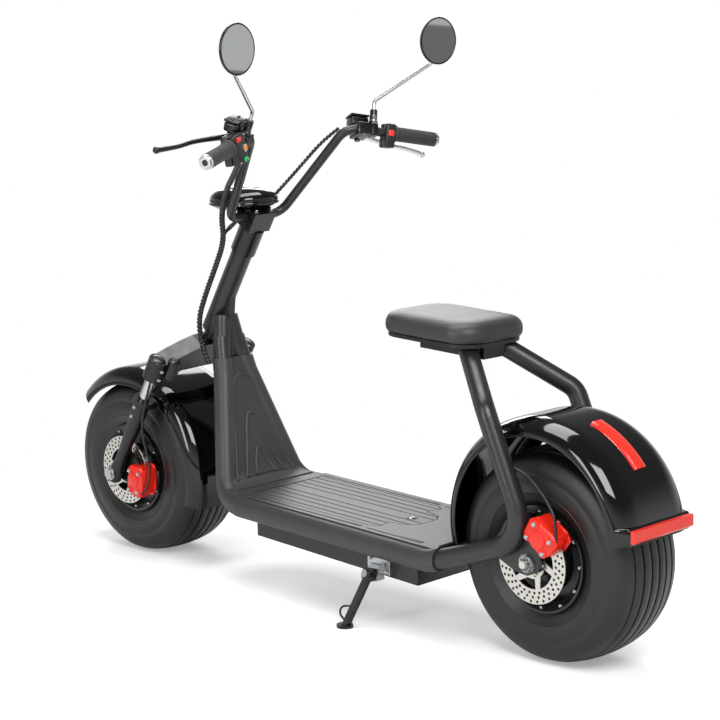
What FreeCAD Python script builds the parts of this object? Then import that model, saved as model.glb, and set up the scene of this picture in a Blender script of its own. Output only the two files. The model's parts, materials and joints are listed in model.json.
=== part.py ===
import FreeCAD
import Part
import math
import os

from FreeCAD import Vector as V

os.makedirs("parts", exist_ok=True)

# Sizes in millimetres.  The scooter is laid out upright: X forward, Y to the
# rider's left, Z up, origin on the floor under the rear axle.  At the end the
# whole scooter leans onto its side stand and moves to its own origin.

# Stance
WHEELBASE = 1387.0
TYRE_R = 228.5
RAKE = 32.7
STEER = 1.9
LEAN = 2.2
STEER_STOP = 35.0
ORIGIN_X = 683.5
ORIGIN_Y = 45.0
# Half width of the flat crown of a tyre
CROWN_FLAT = 14.0

# Wheels
TYRE_HALF = 99.5
RIM_R = 114.0
BEAD_R = 101.6
RIM_HALF = 92.5
DISC_R = 89.0
DISC_Y = 116.0
DISC_T = 3.6
PAD_GAP = 5.0
AXLE_R = 8.0

# Frame tubes
TUBE_R = 21.0
TUBE_Y = 147.0
SLEEVE_R = 25.5
FIT = 0.3
# Path of a side tube: x, y, z, bend radius
TUBE_PATH = [
    (1084.0, 24.0, 588.0, 0.0),
    (1062.0, 38.0, 500.0, 60.0),
    (974.0, 118.0, 214.0, 80.0),
    (886.0, TUBE_Y, 211.0, 60.0),
    (262.0, TUBE_Y, 190.0, 90.0),
    (-16.0, TUBE_Y, 280.0, 78.0),
    (95.0, TUBE_Y, 542.0, 48.0),
    (230.0, 50.0, 643.0, 0.0),
]
DECK_SLOPE = 0.033
SHIELD_TOP = 541.0

# Steering head
HEAD_R = 26.0
HEAD_TOP_Z = 806.0
HEAD_LOW_Z = 604.0
STEM_R = 16.0
COLLAR_R = 31.0

# Deck
DECK_REAR = 232.0
DECK_SEAM = 902.0
DECK_TOP = 218.0
DECK_T = 5.0
LID_REAR = 480.0
LID_FRONT = 880.0
LID_HALF = 112.0
# Rear edge of the lid's left half, from the side to the middle: x, y
LID_TAIL = [(460.0, 98.0), (470.0, 62.0), (424.0, 50.0), (407.0, 28.0)]
LOCK_X = 458.0
LOCK_R = 9.0
LID_GAP = 2.0
HINGE_GAP = 5.0
HINGE_BACK = 3.0
PIN_R = 1.5
BOX_REAR = 326.0
BOX_FRONT = 860.0
BOX_HALF = 120.0
BOX_LOW = 116.0
BOX_WALL = 2.5
BOX_SLOPE = 0.045
PACK_REAR = 486.0
PACK_FRONT = 846.0
PACK_HALF = 95.0
PACK_HIGH = 44.0

# Seat
SEAT_X = 317.0
SEAT_LONG = 282.0
SEAT_WIDE = 226.0
SEAT_LOW = 651.0
SEAT_HIGH = 58.0
SEAT_TILT = 3.0

# Rear fender: centre, crown radius, half width
RF_X = 8.0
RF_Z = 278.0
RF_R = 248.0
RF_HALF = 114.0
RF_CORNER = 58.0
RF_SKIRT = 37.0
RF_FIRST = -14.0
RF_LAST = 176.0
FENDER_T = 3.0

# Tail light bar
TAIL_LOW = 303.0
TAIL_HIGH = 329.0
TAIL_BACK = -249.0
TAIL_DEEP = 12.0
TAIL_HALF = 97.0

# Front fender
FF_X = 1380.0
FF_Z = 227.0
FF_R = 267.0
FF_HALF = 110.0
FF_CORNER = 40.0
FF_SKIRT = 42.0

# Fork
LEG_Y = 146.0
STANCHION_R = 15.0
LOWER_R = 19.5

# Handlebar
BAR_R = 11.1
GRIP_R = 17.5
# Path of the left half of the bar: x, y, z, bend radius
BAR_MID_X = 965.0
BAR_MID_Z = 894.0
BAR_PATH = [
    (BAR_MID_X, 0.0, BAR_MID_Z, 0.0),
    (BAR_MID_X, 84.0, BAR_MID_Z, 38.0),
    (794.0, 153.0, 1098.0, 48.0),
    (703.0, 379.0, 1053.0, 0.0),
]

# Distances along the bar from its upper corner
CONTROLS_S = 16.0
LEVER_R = 6.0
TURN_LEFT = 22.0
TURN_RIGHT = -16.0
GRIP_S = 124.0
BAR_S = 238.0

# Side stand
STAND_PIVOT = (446.0, 152.0, 127.0)
STAND_FOOT = (486.0, 193.0)
STAND_FOLD = (-1.0, 0.1, 0.0)

# Derived directions
sin_r = math.sin(math.radians(RAKE))
cos_r = math.cos(math.radians(RAKE))
FRONT = V(WHEELBASE, 0, TYRE_R)
REAR = V(0, 0, TYRE_R)
AXIS = V(-sin_r, 0, cos_r)
YAX = V(0, 1, 0)
lean_rad = math.radians(LEAN)
# The steered front wheel leans further and comes lowest
front_camber = lean_rad + math.radians(STEER) * sin_r
floor_z = -CROWN_FLAT * math.sin(front_camber)


def steer_point(z):
    return FRONT + AXIS * ((z - TYRE_R) / cos_r)


def mirror(shape):
    return shape.mirror(V(0, 0, 0), YAX)


def both(shape):
    return Part.makeCompound([shape, mirror(shape)])


def box(x0, x1, y0, y1, z0, z1):
    return Part.makeBox(x1 - x0, y1 - y0, z1 - z0, V(x0, y0, z0))


def rod(a, b, r):
    a = V(*a)
    b = V(*b)
    return Part.makeCylinder(r, (b - a).Length, a, b - a)


def disc_y(x, z, r, y0, y1):
    return Part.makeCylinder(r, y1 - y0, V(x, y0, z), YAX)


def polygon_y(points, y0, y1):
    wire = Part.makePolygon([V(x, y0, z) for x, z in points + points[:1]])
    return Part.Face(wire).extrude(V(0, y1 - y0, 0))


def bent_wire(path):
    # straight runs joined by tangent arcs
    points = [V(*p[:3]) for p in path]
    edges = []
    last = points[0]
    for i in range(1, len(points) - 1):
        back = points[i - 1] - points[i]
        ahead = points[i + 1] - points[i]
        back.normalize()
        ahead.normalize()
        half = back.getAngle(ahead) / 2
        radius = path[i][3]
        reach = radius / math.tan(half)
        start = points[i] + back * reach
        end = points[i] + ahead * reach
        inward = back + ahead
        inward.normalize()
        middle = points[i] + inward * (radius / math.sin(half) - radius)
        if (start - last).Length > 0.01:
            edges.append(Part.LineSegment(last, start).toShape())
        edges.append(Part.Arc(start, middle, end).toShape())
        last = end
    edges.append(Part.LineSegment(last, points[-1]).toShape())
    return Part.Wire(edges)


def pipe(path, r):
    wire = bent_wire(path)
    start = V(*path[0][:3])
    ahead = V(*path[1][:3]) - start
    ring = Part.Wire(Part.makeCircle(r, start, ahead))
    return wire.makePipeShell([ring], True, False)


def turned(points, centre, axis=YAX):
    # closed half section, as radius and y pairs, turned about a wheel's axle
    pts = [centre + V(0, y, 0) + V(0, 0, r) for r, y in points]
    wire = Part.makePolygon(pts + pts[:1])
    return Part.Face(wire).revolve(centre, axis, 360)


def upright_turn(points, centre, axis, side):
    # section of radius and height pairs turned about an axis through centre
    pts = [centre + side * r + axis * h for r, h in points]
    wire = Part.makePolygon(pts + pts[:1])
    return Part.Face(wire).revolve(centre, axis, 360)


def deck_z(x):
    return DECK_TOP + DECK_SLOPE * (x - DECK_REAR)


nodes = {}

# Wheels.  Tyre section: radius and half width from bead to crown
tyre_side = [(BEAD_R, 84.0), (RIM_R + 1.0, 86.0), (128.0, 93.5), (150.0, 98.5),
             (170.0, TYRE_HALF), (190.0, 97.0), (205.0, 91.0), (215.0, 82.0),
             (222.0, 66.0), (226.5, 40.0), (TYRE_R, CROWN_FLAT)]
tyre_section = tyre_side + [(r, -y) for r, y in reversed(tyre_side)]
rim_half = [(BEAD_R, 80.0), (BEAD_R, 86.0 - 1.7), (RIM_R, 87.0), (RIM_R, RIM_HALF),
            (RIM_R - 5.0, RIM_HALF), (98.0, 84.0), (94.0, 62.0)]
hub_half = [(60.0, 66.0), (48.0, 92.0), (34.0, 96.0), (34.0, 112.0), (AXLE_R + 0.05, 112.0)]
motor_half = [(72.0, 70.0), (64.0, 92.0), (34.0, 96.0), (34.0, 112.0), (AXLE_R + 0.05, 112.0)]


def wheel(centre, hub):
    half = rim_half + hub
    section = half + [(r, -y) for r, y in reversed(half)]
    return turned(tyre_section, centre), turned(section, centre)


def brake_disc(centre):
    y0 = DISC_Y - DISC_T / 2
    y1 = DISC_Y + DISC_T / 2
    plate = disc_y(centre.x, centre.z, DISC_R, y0, y1)
    windows = []
    for i in range(6):
        ring = disc_y(centre.x, centre.z, 56.0, y0 - 1, y1 + 1)
        ring = ring.cut(disc_y(centre.x, centre.z, 36.0, y0 - 1, y1 + 1))
        wedge = polygon_y([(0, 0), (80, -26), (80, 26)], y0 - 1, y1 + 1)
        wedge.translate(V(14, 0, 0))
        wedge.rotate(V(0, 0, 0), YAX, 60 * i + 15)
        wedge.translate(V(centre.x, 0, centre.z))
        windows.append(ring.common(wedge))
    boss = disc_y(centre.x, centre.z, 33.9, 112.0, y0 + 0.1)
    plate = plate.cut(Part.makeCompound(windows)).fuse(boss)
    bore = disc_y(centre.x, centre.z, 13.0, 100.0, 130.0)
    return plate.cut(bore).removeSplitter()


nodes["rear_tyre"], nodes["rear_rim"] = wheel(REAR, motor_half)
nodes["front_tyre"], nodes["front_rim"] = wheel(FRONT, hub_half)
nodes["rear_disc"] = brake_disc(REAR)
nodes["front_disc"] = brake_disc(FRONT)

# Side tubes, one bent length on each side, neck to deck to seat
side_tube = pipe(TUBE_PATH, TUBE_R)
sleeve_room = pipe(TUBE_PATH, TUBE_R + FIT)
sleeve_skin = pipe(TUBE_PATH, SLEEVE_R)

# Steering head and the flared neck behind it
head_top = steer_point(HEAD_TOP_Z)
head_low = steer_point(HEAD_LOW_Z)
head = rod(head_low, head_top, HEAD_R)
head_bore = rod(steer_point(HEAD_LOW_Z + 15), steer_point(HEAD_TOP_Z - 15), STEM_R + 4.0)
neck_wire = Part.makePolygon([V(1142, -9, 668), V(1146, -9, 622), V(1106, -9, 572),
                              V(1092, -9, 540), V(1066, -9, 540), V(1068, -9, 590),
                              V(1067, -9, 650), V(1058, -9, 712), V(1088, -9, 722),
                              V(1142, -9, 668)])
neck = Part.Face(neck_wire).extrude(V(0, 18, 0))
neck_cheek = rod((1092, 10, 640), (1074, 29, 530), 22.0)
neck = neck.fuse([neck_cheek, mirror(neck_cheek)])
neck = neck.cut([rod(head_low - AXIS * 60, head_top, HEAD_R + FIT)])
neck = neck.cut([pipe(TUBE_PATH, TUBE_R + 0.05), mirror(pipe(TUBE_PATH, TUBE_R + 0.05))])
neck_hole = polygon_y([(1089, 549), (1073, 549), (1079, 580)], -60, 60)
neck = neck.cut([neck_hole, box(900.0, 1200.0, -100.0, 100.0, 400.0, SHIELD_TOP + FIT)])
solids = sorted(neck.Solids, key=lambda s: -s.Volume)
nodes["neck_gusset"] = solids[0].removeSplitter()
head = head.cut([head_bore, rod(steer_point(HEAD_LOW_Z - 20), steer_point(HEAD_TOP_Z + 20), STEM_R + 0.05)])
nodes["head_tube"] = head
tube_left = side_tube.cut(rod(head_low - AXIS * 60, head_top, HEAD_R + FIT))
tube_left = sorted(tube_left.Solids, key=lambda s: -s.Volume)[0]
nodes["side_tube_left"] = tube_left
nodes["side_tube_right"] = mirror(tube_left)

# Cross members under the deck: x, drop below the tube line
cross = []
cross_room = []
for x in (300.0, 882.0):
    z = deck_z(x) - 27.0
    cross_room.append(rod((x, -TUBE_Y, z), (x, TUBE_Y, z), 10.0 + FIT))
    bar = rod((x, -TUBE_Y, z), (x, TUBE_Y, z), 10.0)
    bar = bar.cut([pipe(TUBE_PATH, TUBE_R + 0.05), mirror(pipe(TUBE_PATH, TUBE_R + 0.05))])
    bar = sorted(bar.Solids, key=lambda s: -s.Volume)[0]
    cross.append(bar)
nodes["cross_members"] = Part.makeCompound(cross)

# Deck cover: top plate, lid opening and the wraps round the side tubes


def sloped_plate(x0, x1, half, top, thick):
    a = deck_z(x0) + top
    b = deck_z(x1) + top
    return polygon_y([(x0, a), (x1, b), (x1, b - thick), (x0, a - thick)], -half, half)


# wheel notch at the back of the deck
deck = sloped_plate(DECK_REAR, DECK_SEAM, 146.0, 0.0, DECK_T)
notch = disc_y(RF_X, RF_Z, RF_R + 10.0, -125.0, 125.0)
lid_left = [(LID_FRONT, LID_HALF), (LID_REAR, LID_HALF)] + LID_TAIL
lid_edge = lid_left + [(x, -y) for x, y in reversed(lid_left)]
lid_face = Part.Face(Part.makePolygon([V(x, y, 150.0) for x, y in lid_edge + lid_edge[:1]]))
lid_cut = lid_face.makeOffset2D(LID_GAP).extrude(V(0, 0, 150.0))
lid_cut = lid_cut.fuse(box(LID_FRONT, LID_FRONT + HINGE_GAP, -LID_HALF - LID_GAP, LID_HALF + LID_GAP, 150.0, 300.0))
deck_run = box(DECK_REAR, DECK_SEAM, 100.0, 200.0, 150.0, 270.0)
deck_sleeve = sleeve_skin.common(deck_run)
deck = deck.cut(notch).fuse([deck_sleeve, mirror(deck_sleeve)])
deck = deck.cut([lid_cut, sleeve_room, mirror(sleeve_room)] + cross_room)
hinge_x = LID_FRONT - HINGE_BACK
hinge_z = deck_z(hinge_x) - DECK_T / 2
pin = rod((hinge_x, LID_HALF - 10.0, hinge_z), (hinge_x, LID_HALF + LID_GAP + 4.0, hinge_z), PIN_R)
deck = deck.fuse([pin, mirror(pin)])
nodes["deck_cover"] = sorted(deck.Solids, key=lambda s: -s.Volume)[0]

lid = sloped_plate(LID_REAR - 100.0, LID_FRONT, LID_HALF, 0.0, DECK_T).common(lid_face.extrude(V(0, 0, 150.0)))
lock = rod((LOCK_X, 0, deck_z(LOCK_X) - 24.0), (LOCK_X, 0, deck_z(LOCK_X) + 1.5), LOCK_R)
pin_room = rod((hinge_x, LID_HALF - 10.3, hinge_z), (hinge_x, LID_HALF + 20.0, hinge_z), PIN_R + 0.05)
lid = lid.cut([pin_room, mirror(pin_room)])
nodes["deck_lid"] = lid.cut(rod((LOCK_X, 0, 100), (LOCK_X, 0, 300), LOCK_R + 0.05))
nodes["lid_lock"] = lock

# Leg shield: a bent panel and its wraps round the down tubes
shield_in = [(DECK_SEAM + 0.5, deck_z(DECK_SEAM)), (930.0, deck_z(930.0)), (960.0, 246.0),
             (985.0, 262.0), (1002.0, 285.0), (1013.0, 312.0), (1084.0, SHIELD_TOP)]
shield_out = [(1090.0, SHIELD_TOP), (1019.0, 311.0), (1007.0, 282.0), (989.0, 258.0),
              (962.0, 240.0), (930.0, deck_z(930.0) - 6.0), (DECK_SEAM + 0.5, deck_z(DECK_SEAM) - 6.0)]
panel = polygon_y(shield_in + shield_out, -160.0, 160.0)
right_edge = [(-26.0, 545.0), (-86.0, 318.0), (-103.0, 275.0), (-121.0, 250.0), (-138.0, 240.0), (-146.0, 225.0), (-146.0, 180.0)]
outline = right_edge + [(-y, z) for y, z in reversed(right_edge)]
face = Part.Face(Part.makePolygon([V(800, y, z) for y, z in outline + outline[:1]]))
panel = panel.common(face.extrude(V(400, 0, 0)))
shield_run = polygon_y([(DECK_SEAM + 0.5, 150.0), (1120.0, 150.0), (1120.0, 541.0),
                        (DECK_SEAM + 0.5, 541.0)], 10.0, 200.0)
shield_sleeve = sleeve_skin.common(shield_run)
shield = panel.fuse([shield_sleeve, mirror(shield_sleeve)])
shield = shield.cut([sleeve_room, mirror(sleeve_room)])
nodes["leg_shield"] = sorted(shield.Solids, key=lambda s: -s.Volume)[0]

# Battery box: open tray under the deck with the pack inside
box_top_rear = deck_z(BOX_REAR) - 24.0
box_top_front = deck_z(BOX_FRONT) - 24.0
box_low_front = BOX_LOW + BOX_SLOPE * (BOX_FRONT - BOX_REAR)


def tray(inset, lid_up):
    return polygon_y([(BOX_REAR + inset, BOX_LOW + inset), (BOX_FRONT - inset, box_low_front + inset),
                      (BOX_FRONT - inset, box_top_front + lid_up), (BOX_REAR + inset, box_top_rear + lid_up)],
                     -BOX_HALF + inset, BOX_HALF - inset)


tray_solid = tray(0.0, 24.0 - DECK_T).cut(tray(BOX_WALL, 40.0))
nodes["battery_box"] = sorted(tray_solid.Solids, key=lambda s: -s.Volume)[0]
pack_rear = BOX_LOW + BOX_SLOPE * (PACK_REAR - BOX_REAR) + BOX_WALL + FIT
pack_front = BOX_LOW + BOX_SLOPE * (PACK_FRONT - BOX_REAR) + BOX_WALL + FIT
nodes["battery_pack"] = polygon_y([(PACK_REAR, pack_rear), (PACK_FRONT, pack_front),
                                   (PACK_FRONT, pack_front + PACK_HIGH), (PACK_REAR, pack_rear + PACK_HIGH)],
                                  -PACK_HALF, PACK_HALF)

# Seat: pad, pan and the bracket across the tube ends
half_l = SEAT_LONG / 2
half_w = SEAT_WIDE / 2


def seat_slab(inset, z0, z1, corner):
    slab = box(SEAT_X - half_l + inset, SEAT_X + half_l - inset, -half_w + inset, half_w - inset, z0, z1)
    upright = [e for e in slab.Edges if abs(e.Vertexes[0].Z - e.Vertexes[-1].Z) > 1]
    return slab.makeFillet(corner, upright)


pan = seat_slab(8.0, SEAT_LOW, SEAT_LOW + 8.0, 62.0)
pad = seat_slab(0.0, SEAT_LOW + 8.3, SEAT_LOW + SEAT_HIGH, 70.0)
top_edges = [e for e in pad.Edges if abs(e.BoundBox.ZMin - (SEAT_LOW + SEAT_HIGH)) < 0.1
             and abs(e.BoundBox.ZMax - (SEAT_LOW + SEAT_HIGH)) < 0.1]
pad = pad.makeFillet(26.0, top_edges)
bracket = box(198.0, 386.0, -33.0, 33.0, SEAT_LOW - 30.0, SEAT_LOW - 0.0)
inner = box(201.0, 383.0, -30.0, 30.0, SEAT_LOW - 27.0, SEAT_LOW - 3.0)
bracket = bracket.cut(inner)
cross_bar = box(205.0, 255.0, -72.0, 72.0, SEAT_LOW - 14.0, SEAT_LOW - 0.0)
bracket = bracket.fuse(cross_bar)
above = box(100.0, 500.0, -150.0, 150.0, SEAT_LOW - FIT, SEAT_LOW + 150.0)
for s in (pan, pad, bracket, above):
    s.rotate(V(230.0, 0, SEAT_LOW), YAX, -SEAT_TILT)
tube_left = tube_left.cut(above)
nodes["side_tube_left"] = tube_left
nodes["side_tube_right"] = mirror(tube_left)
bracket = bracket.cut([pipe(TUBE_PATH, TUBE_R + 0.05), mirror(pipe(TUBE_PATH, TUBE_R + 0.05))])
bracket = sorted(bracket.Solids, key=lambda s: -s.Volume)[0]
nodes["seat_bracket"] = bracket
nodes["seat_base"] = pan
nodes["seat_pad"] = pad

# Fenders: an arched section turned part of the way round


def fender_arch(crown, half, corner, skirt, t):
    # half of the section, lip to middle, set in by t: radius, y
    return [(crown - skirt + (skirt - t) * math.sin(a), half - corner + (corner - t) * math.cos(a))
            for a in (i * math.pi / 10 for i in range(6))]


def arch_turn(centre, section, first, last):
    a = math.radians(first)
    ahead = V(math.cos(a), 0, math.sin(a))
    pts = [centre + ahead * r + V(0, y, 0) for r, y in section]
    return Part.Face(Part.makePolygon(pts + pts[:1])).revolve(centre, V(0, -1, 0), last - first)


def both_halves(arch):
    return arch + [(r, -y) for r, y in reversed(arch)]


def fender(centre, shape, first, last):
    rim = both_halves(fender_arch(*shape, 0.0))
    hollow = both_halves(fender_arch(*shape, FENDER_T))
    return arch_turn(centre, rim + hollow[::-1], first, last)


RF_C = V(RF_X, 0, RF_Z)
RF_SHAPE = (RF_R, RF_HALF, RF_CORNER, RF_SKIRT)
rear_fender = fender(RF_C, RF_SHAPE, RF_FIRST, RF_LAST)
fender_fill = [(80.0, RF_HALF)] + both_halves(fender_arch(*RF_SHAPE, 0.0)) + [(80.0, -RF_HALF)]
fender_fill = arch_turn(RF_C, fender_fill, RF_FIRST, RF_LAST)
# Tail light housing round the fender's end
housing = box(TAIL_BACK + TAIL_DEEP, TAIL_BACK + 62.0, -RF_HALF, RF_HALF, TAIL_LOW - 8.0, TAIL_HIGH + 3.0)
arch_core = both_halves(fender_arch(*RF_SHAPE, FENDER_T / 2))
arch_core = [(80.0, RF_HALF - 5.0)] + arch_core + [(80.0, 5.0 - RF_HALF)]
housing = housing.cut(arch_turn(RF_C, arch_core, 140.0, 200.0))
housing = housing.common(arch_turn(RF_C, [(RF_R - RF_SKIRT, RF_HALF), (RF_R + 20.0, RF_HALF), (RF_R + 20.0, -RF_HALF), (RF_R - RF_SKIRT, -RF_HALF)], 150.0, RF_LAST))
rear_fender = rear_fender.fuse(housing)
nodes["rear_fender"] = rear_fender
FF_C = V(FF_X, 0, FF_Z)
front_fender = fender(FF_C, (FF_R, FF_HALF, FF_CORNER, FF_SKIRT), 46.0, 196.0)

# Tail light across the fender's end, reflector strip up its back
tail_pts = [(TAIL_BACK, TAIL_LOW + 3.0), (TAIL_BACK, TAIL_HIGH), (TAIL_BACK + TAIL_DEEP - FIT, TAIL_HIGH),
            (TAIL_BACK + TAIL_DEEP - FIT, TAIL_LOW), (TAIL_BACK + 3.0, TAIL_LOW)]
tail = polygon_y(tail_pts, -TAIL_HALF, TAIL_HALF).cut(fender_fill)
nodes["tail_light"] = sorted(tail.Solids, key=lambda s: -s.Volume)[0]
a0 = math.radians(110.0)
strip = [RF_C + V(math.cos(a0), 0, math.sin(a0)) * r + V(0, y, 0)
         for r, y in ((RF_R, -30.0), (RF_R + 6.0, -26.0), (RF_R + 6.0, 26.0), (RF_R, 30.0))]
strip_face = Part.Face(Part.makePolygon(strip + strip[:1]))
nodes["tail_reflector"] = strip_face.revolve(RF_C, V(0, -1, 0), 32.0)

# Fender stays: flat lugs from the side tubes to the fender's skirts
stays = []
for x, z, long in ((74.0, 488.0, 13.0), (222.0, 212.0, 7.0)):
    lug = box(x - long, x + long, RF_HALF - 2.0, TUBE_Y, z - 6.0, z + 6.0)
    lug = lug.cut([pipe(TUBE_PATH, TUBE_R + 0.05), fender_fill])
    lug = sorted(lug.Solids, key=lambda s: s.BoundBox.YMin)[0]
    stays += [lug, mirror(lug)]
nodes["fender_stays"] = Part.makeCompound(stays)

# Rear dropout plates and axle
plate_pts = [(108.0, 240.0), (60.0, 300.0), (22.0, 342.0), (2.0, 330.0), (-26.0, 292.0),
             (-38.0, 262.0), (-30.0, 215.0), (0.0, 202.0), (34.0, 206.0), (78.0, 226.0)]
plate = polygon_y(plate_pts, 124.0, 131.0)
plate = plate.cut([pipe(TUBE_PATH, TUBE_R + 0.05), disc_y(0, TYRE_R, AXLE_R + 0.05, 100, 150)])
plate = sorted(plate.Solids, key=lambda s: -s.Volume)[0]
nodes["dropouts"] = both(plate)
axle = disc_y(0, TYRE_R, AXLE_R, -148.0, 148.0)
nut = disc_y(0, TYRE_R, 14.0, 131.0, 141.0)
nodes["rear_axle"] = axle.fuse([nut, mirror(nut)])

# Brake calipers: two halves with a bridge over the disc's rim


def caliper(centre, angle):
    # angle of the caliper round the axle, then its own outline
    outline = [(54.0, -34.0), (62.0, -40.0), (98.0, -44.0), (108.0, -30.0), (112.0, 18.0),
               (104.0, 40.0), (70.0, 40.0), (52.0, 22.0)]
    y_in = DISC_Y - DISC_T / 2 - PAD_GAP
    y_out = DISC_Y + DISC_T / 2 + PAD_GAP
    body = polygon_y(outline, y_in - 8.0, 152.0)
    slot = box(40.0, DISC_R + PAD_GAP, y_in, y_out, -60.0, 60.0)
    body = body.cut(slot)
    piston = disc_y(76.0, -2.0, 19.0, 152.0, 155.0)
    body = body.fuse(piston)
    body.rotate(V(0, 0, 0), YAX, -angle)
    body.translate(V(centre.x, 0, centre.z))
    return body


rear_caliper = caliper(REAR, 128.0)
rear_caliper = rear_caliper.cut(polygon_y(plate_pts, 123.8, 131.2))
nodes["rear_caliper"] = sorted(rear_caliper.Solids, key=lambda s: -s.Volume)[0]
front_caliper = caliper(FRONT, 190.0)

# Side stand: bracket on the box and the leg down to the floor
px, py, pz = STAND_PIVOT

# Fork: crown, legs, axle
crown_fwd = V(cos_r, 0, sin_r)


def at_fork(along, side, fwd=0.0):
    # point on the fork's plane: height along the axis above the axle
    return FRONT + AXIS * along + V(0, side, 0) + crown_fwd * fwd


CROWN_S = 370.0
CROWN_HALF = 24.0
CLAMP_R = 25.0
BOSS_R = 17.0
BOSS_Y = 120.0
BOSS_BACK = 30.0
# Outline of the crown's left half: height over CROWN_S, y
crown_half = [(46.0, 0.0), (42.0, 35.0), (31.0, 70.0), (15.0, 110.0), (-3.0, LEG_Y),
              (-46.0, LEG_Y), (-46.0, 122.0), (-27.0, 80.0), (-25.0, 0.0)]
crown_pts = crown_half + [(h, -y) for h, y in reversed(crown_half) if y > 0]
crown_wire = Part.makePolygon([at_fork(CROWN_S + h, y, -CROWN_HALF) for h, y in crown_pts + crown_pts[:1]])
crown = Part.Face(crown_wire).extrude(crown_fwd * 2 * CROWN_HALF)
for y in (1, -1):
    crown = crown.fuse(rod(at_fork(CROWN_S - 55.0, y * LEG_Y), at_fork(CROWN_S + 2.0, y * LEG_Y), CLAMP_R))
    crown = crown.fuse(rod(at_fork(CROWN_S - 34.0, y * BOSS_Y, -BOSS_BACK),
                           at_fork(CROWN_S + 14.0, y * BOSS_Y, -BOSS_BACK), BOSS_R))
for y in (LEG_Y, -LEG_Y):
    crown = crown.cut(rod(at_fork(CROWN_S - 80.0, y), at_fork(CROWN_S - 6.0, y), STANCHION_R))
crown = crown.cut(rod(at_fork(CROWN_S - 60.0, 0), at_fork(CROWN_S + 100.0, 0), STEM_R))
nodes["fork_crown"] = crown.removeSplitter()
# Lower leg of the fork: radius, height along the leg
LEG_SECTION = [(0.0, -26.0), (15.0, -26.0), (LOWER_R, -20.0), (LOWER_R, 14.0), (15.0, 40.0), (15.0, 70.0),
               (18.0, 130.0), (21.0, 200.0), (21.0, 232.0), (26.0, 235.0), (26.0, 246.0), (0.0, 246.0)]


def lower_leg(y, room):
    points = [(r + room if r > 0 else 0.0, h) for r, h in LEG_SECTION]
    return upright_turn(points, at_fork(0.0, y), AXIS, YAX)


legs = []
lowers = []
for y in (LEG_Y, -LEG_Y):
    legs.append(rod(at_fork(150.0, y), at_fork(CROWN_S - 6.0, y), STANCHION_R))
    low = lower_leg(y, 0.0)
    low = low.cut(rod(at_fork(150.0, y), at_fork(260.0, y), STANCHION_R))
    low = low.cut(disc_y(FRONT.x, FRONT.z, AXLE_R + 0.05, y - 30, y + 30))
    lowers.append(low)
nodes["fork_stanchions"] = Part.makeCompound(legs)
# lugs that carry the front fender between the legs
lug_mid = at_fork(228.0, 0)
lug = Part.makeBox(34.0, LEG_Y - FF_HALF + 5.0, 22.0, V(-17.0, FF_HALF - 5.0, -11.0))
lug.rotate(V(0, 0, 0), YAX, -RAKE)
lug.translate(V(lug_mid.x, 0, lug_mid.z))
lug = lug.cut(lower_leg(LEG_Y, FIT))
lug = sorted(lug.Solids, key=lambda s: s.BoundBox.YMin)[0]
nodes["front_fender"] = front_fender.fuse([lug, mirror(lug)])
tab_pts = [(6.0, -18.0), (-40.0, -34.0), (-72.0, -40.0), (-88.0, -10.0), (-84.0, 24.0), (-40.0, 62.0), (-20.0, 40.0)]
tab_pts = [(FRONT.x + x, FRONT.z + z) for x, z in tab_pts]
tab = polygon_y(tab_pts, 126.5, 132.5)
tab = tab.cut(disc_y(FRONT.x, FRONT.z, AXLE_R + 0.05, 100, 150))
lowers[0] = lowers[0].fuse(tab)
nodes["fork_lowers"] = Part.makeCompound(lowers)
faxle = disc_y(FRONT.x, FRONT.z, AXLE_R, -172.0, 172.0)
fnut = disc_y(FRONT.x, FRONT.z, 13.0, LEG_Y + LOWER_R, LEG_Y + LOWER_R + 9.0)
nodes["front_axle"] = faxle.fuse([fnut, mirror(fnut)])
nodes["front_caliper"] = front_caliper.cut([lower_leg(LEG_Y, FIT),
                                            polygon_y(tab_pts, 126.3, 132.7)])
nodes["front_caliper"] = sorted(nodes["front_caliper"].Solids, key=lambda s: -s.Volume)[0]

# Stem: inner tube, collar and the clamp block round the bar
stem = rod(at_fork(CROWN_S - 30.0, 0), steer_point(886.0), STEM_R)
collar = rod(steer_point(HEAD_TOP_Z + 1.0), steer_point(868.0), COLLAR_R)
clamp = box(-30.0, 30.0, -34.0, 34.0, -28.0, 26.0)
clamp.rotate(V(0, 0, 0), YAX, -RAKE)
clamp.translate(V(BAR_MID_X, 0, BAR_MID_Z))
stem = stem.fuse([collar, clamp])
stem = stem.cut(rod((BAR_MID_X, -60, BAR_MID_Z), (BAR_MID_X, 60, BAR_MID_Z), BAR_R))
nodes["steering_stem"] = sorted(stem.Solids, key=lambda s: -s.Volume)[0]

# Handlebar in one bent length
flip = [(x, -y, z, r) for x, y, z, r in BAR_PATH[1:3]]
end_dir = V(*BAR_PATH[3][:3]) - V(*BAR_PATH[2][:3])
end_dir.normalize()
corner = V(*BAR_PATH[2][:3])
grip_start = corner + end_dir * GRIP_S
bar_end = corner + end_dir * BAR_S
bar_full = [(bar_end.x, -bar_end.y, bar_end.z, 0.0), flip[1], flip[0], BAR_PATH[1], BAR_PATH[2],
            (bar_end.x, bar_end.y, bar_end.z, 0.0)]
nodes["handlebar"] = pipe(bar_full, BAR_R)
grip = rod(grip_start, bar_end + end_dir * 6.0, GRIP_R)
grip = grip.fuse(rod(grip_start, grip_start + end_dir * 7.0, 21.0))
grip = grip.cut(rod(grip_start - end_dir * 5.0, bar_end, BAR_R))
nodes["grips"] = both(grip)

# Controls on the bar: place along the grip line, then size
upn = end_dir.cross(V(1, 0, 0))
if upn.z < 0:
    upn = upn * -1
upn.normalize()
fwd = end_dir.cross(upn)
if fwd.x < 0:
    fwd = fwd * -1


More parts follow.
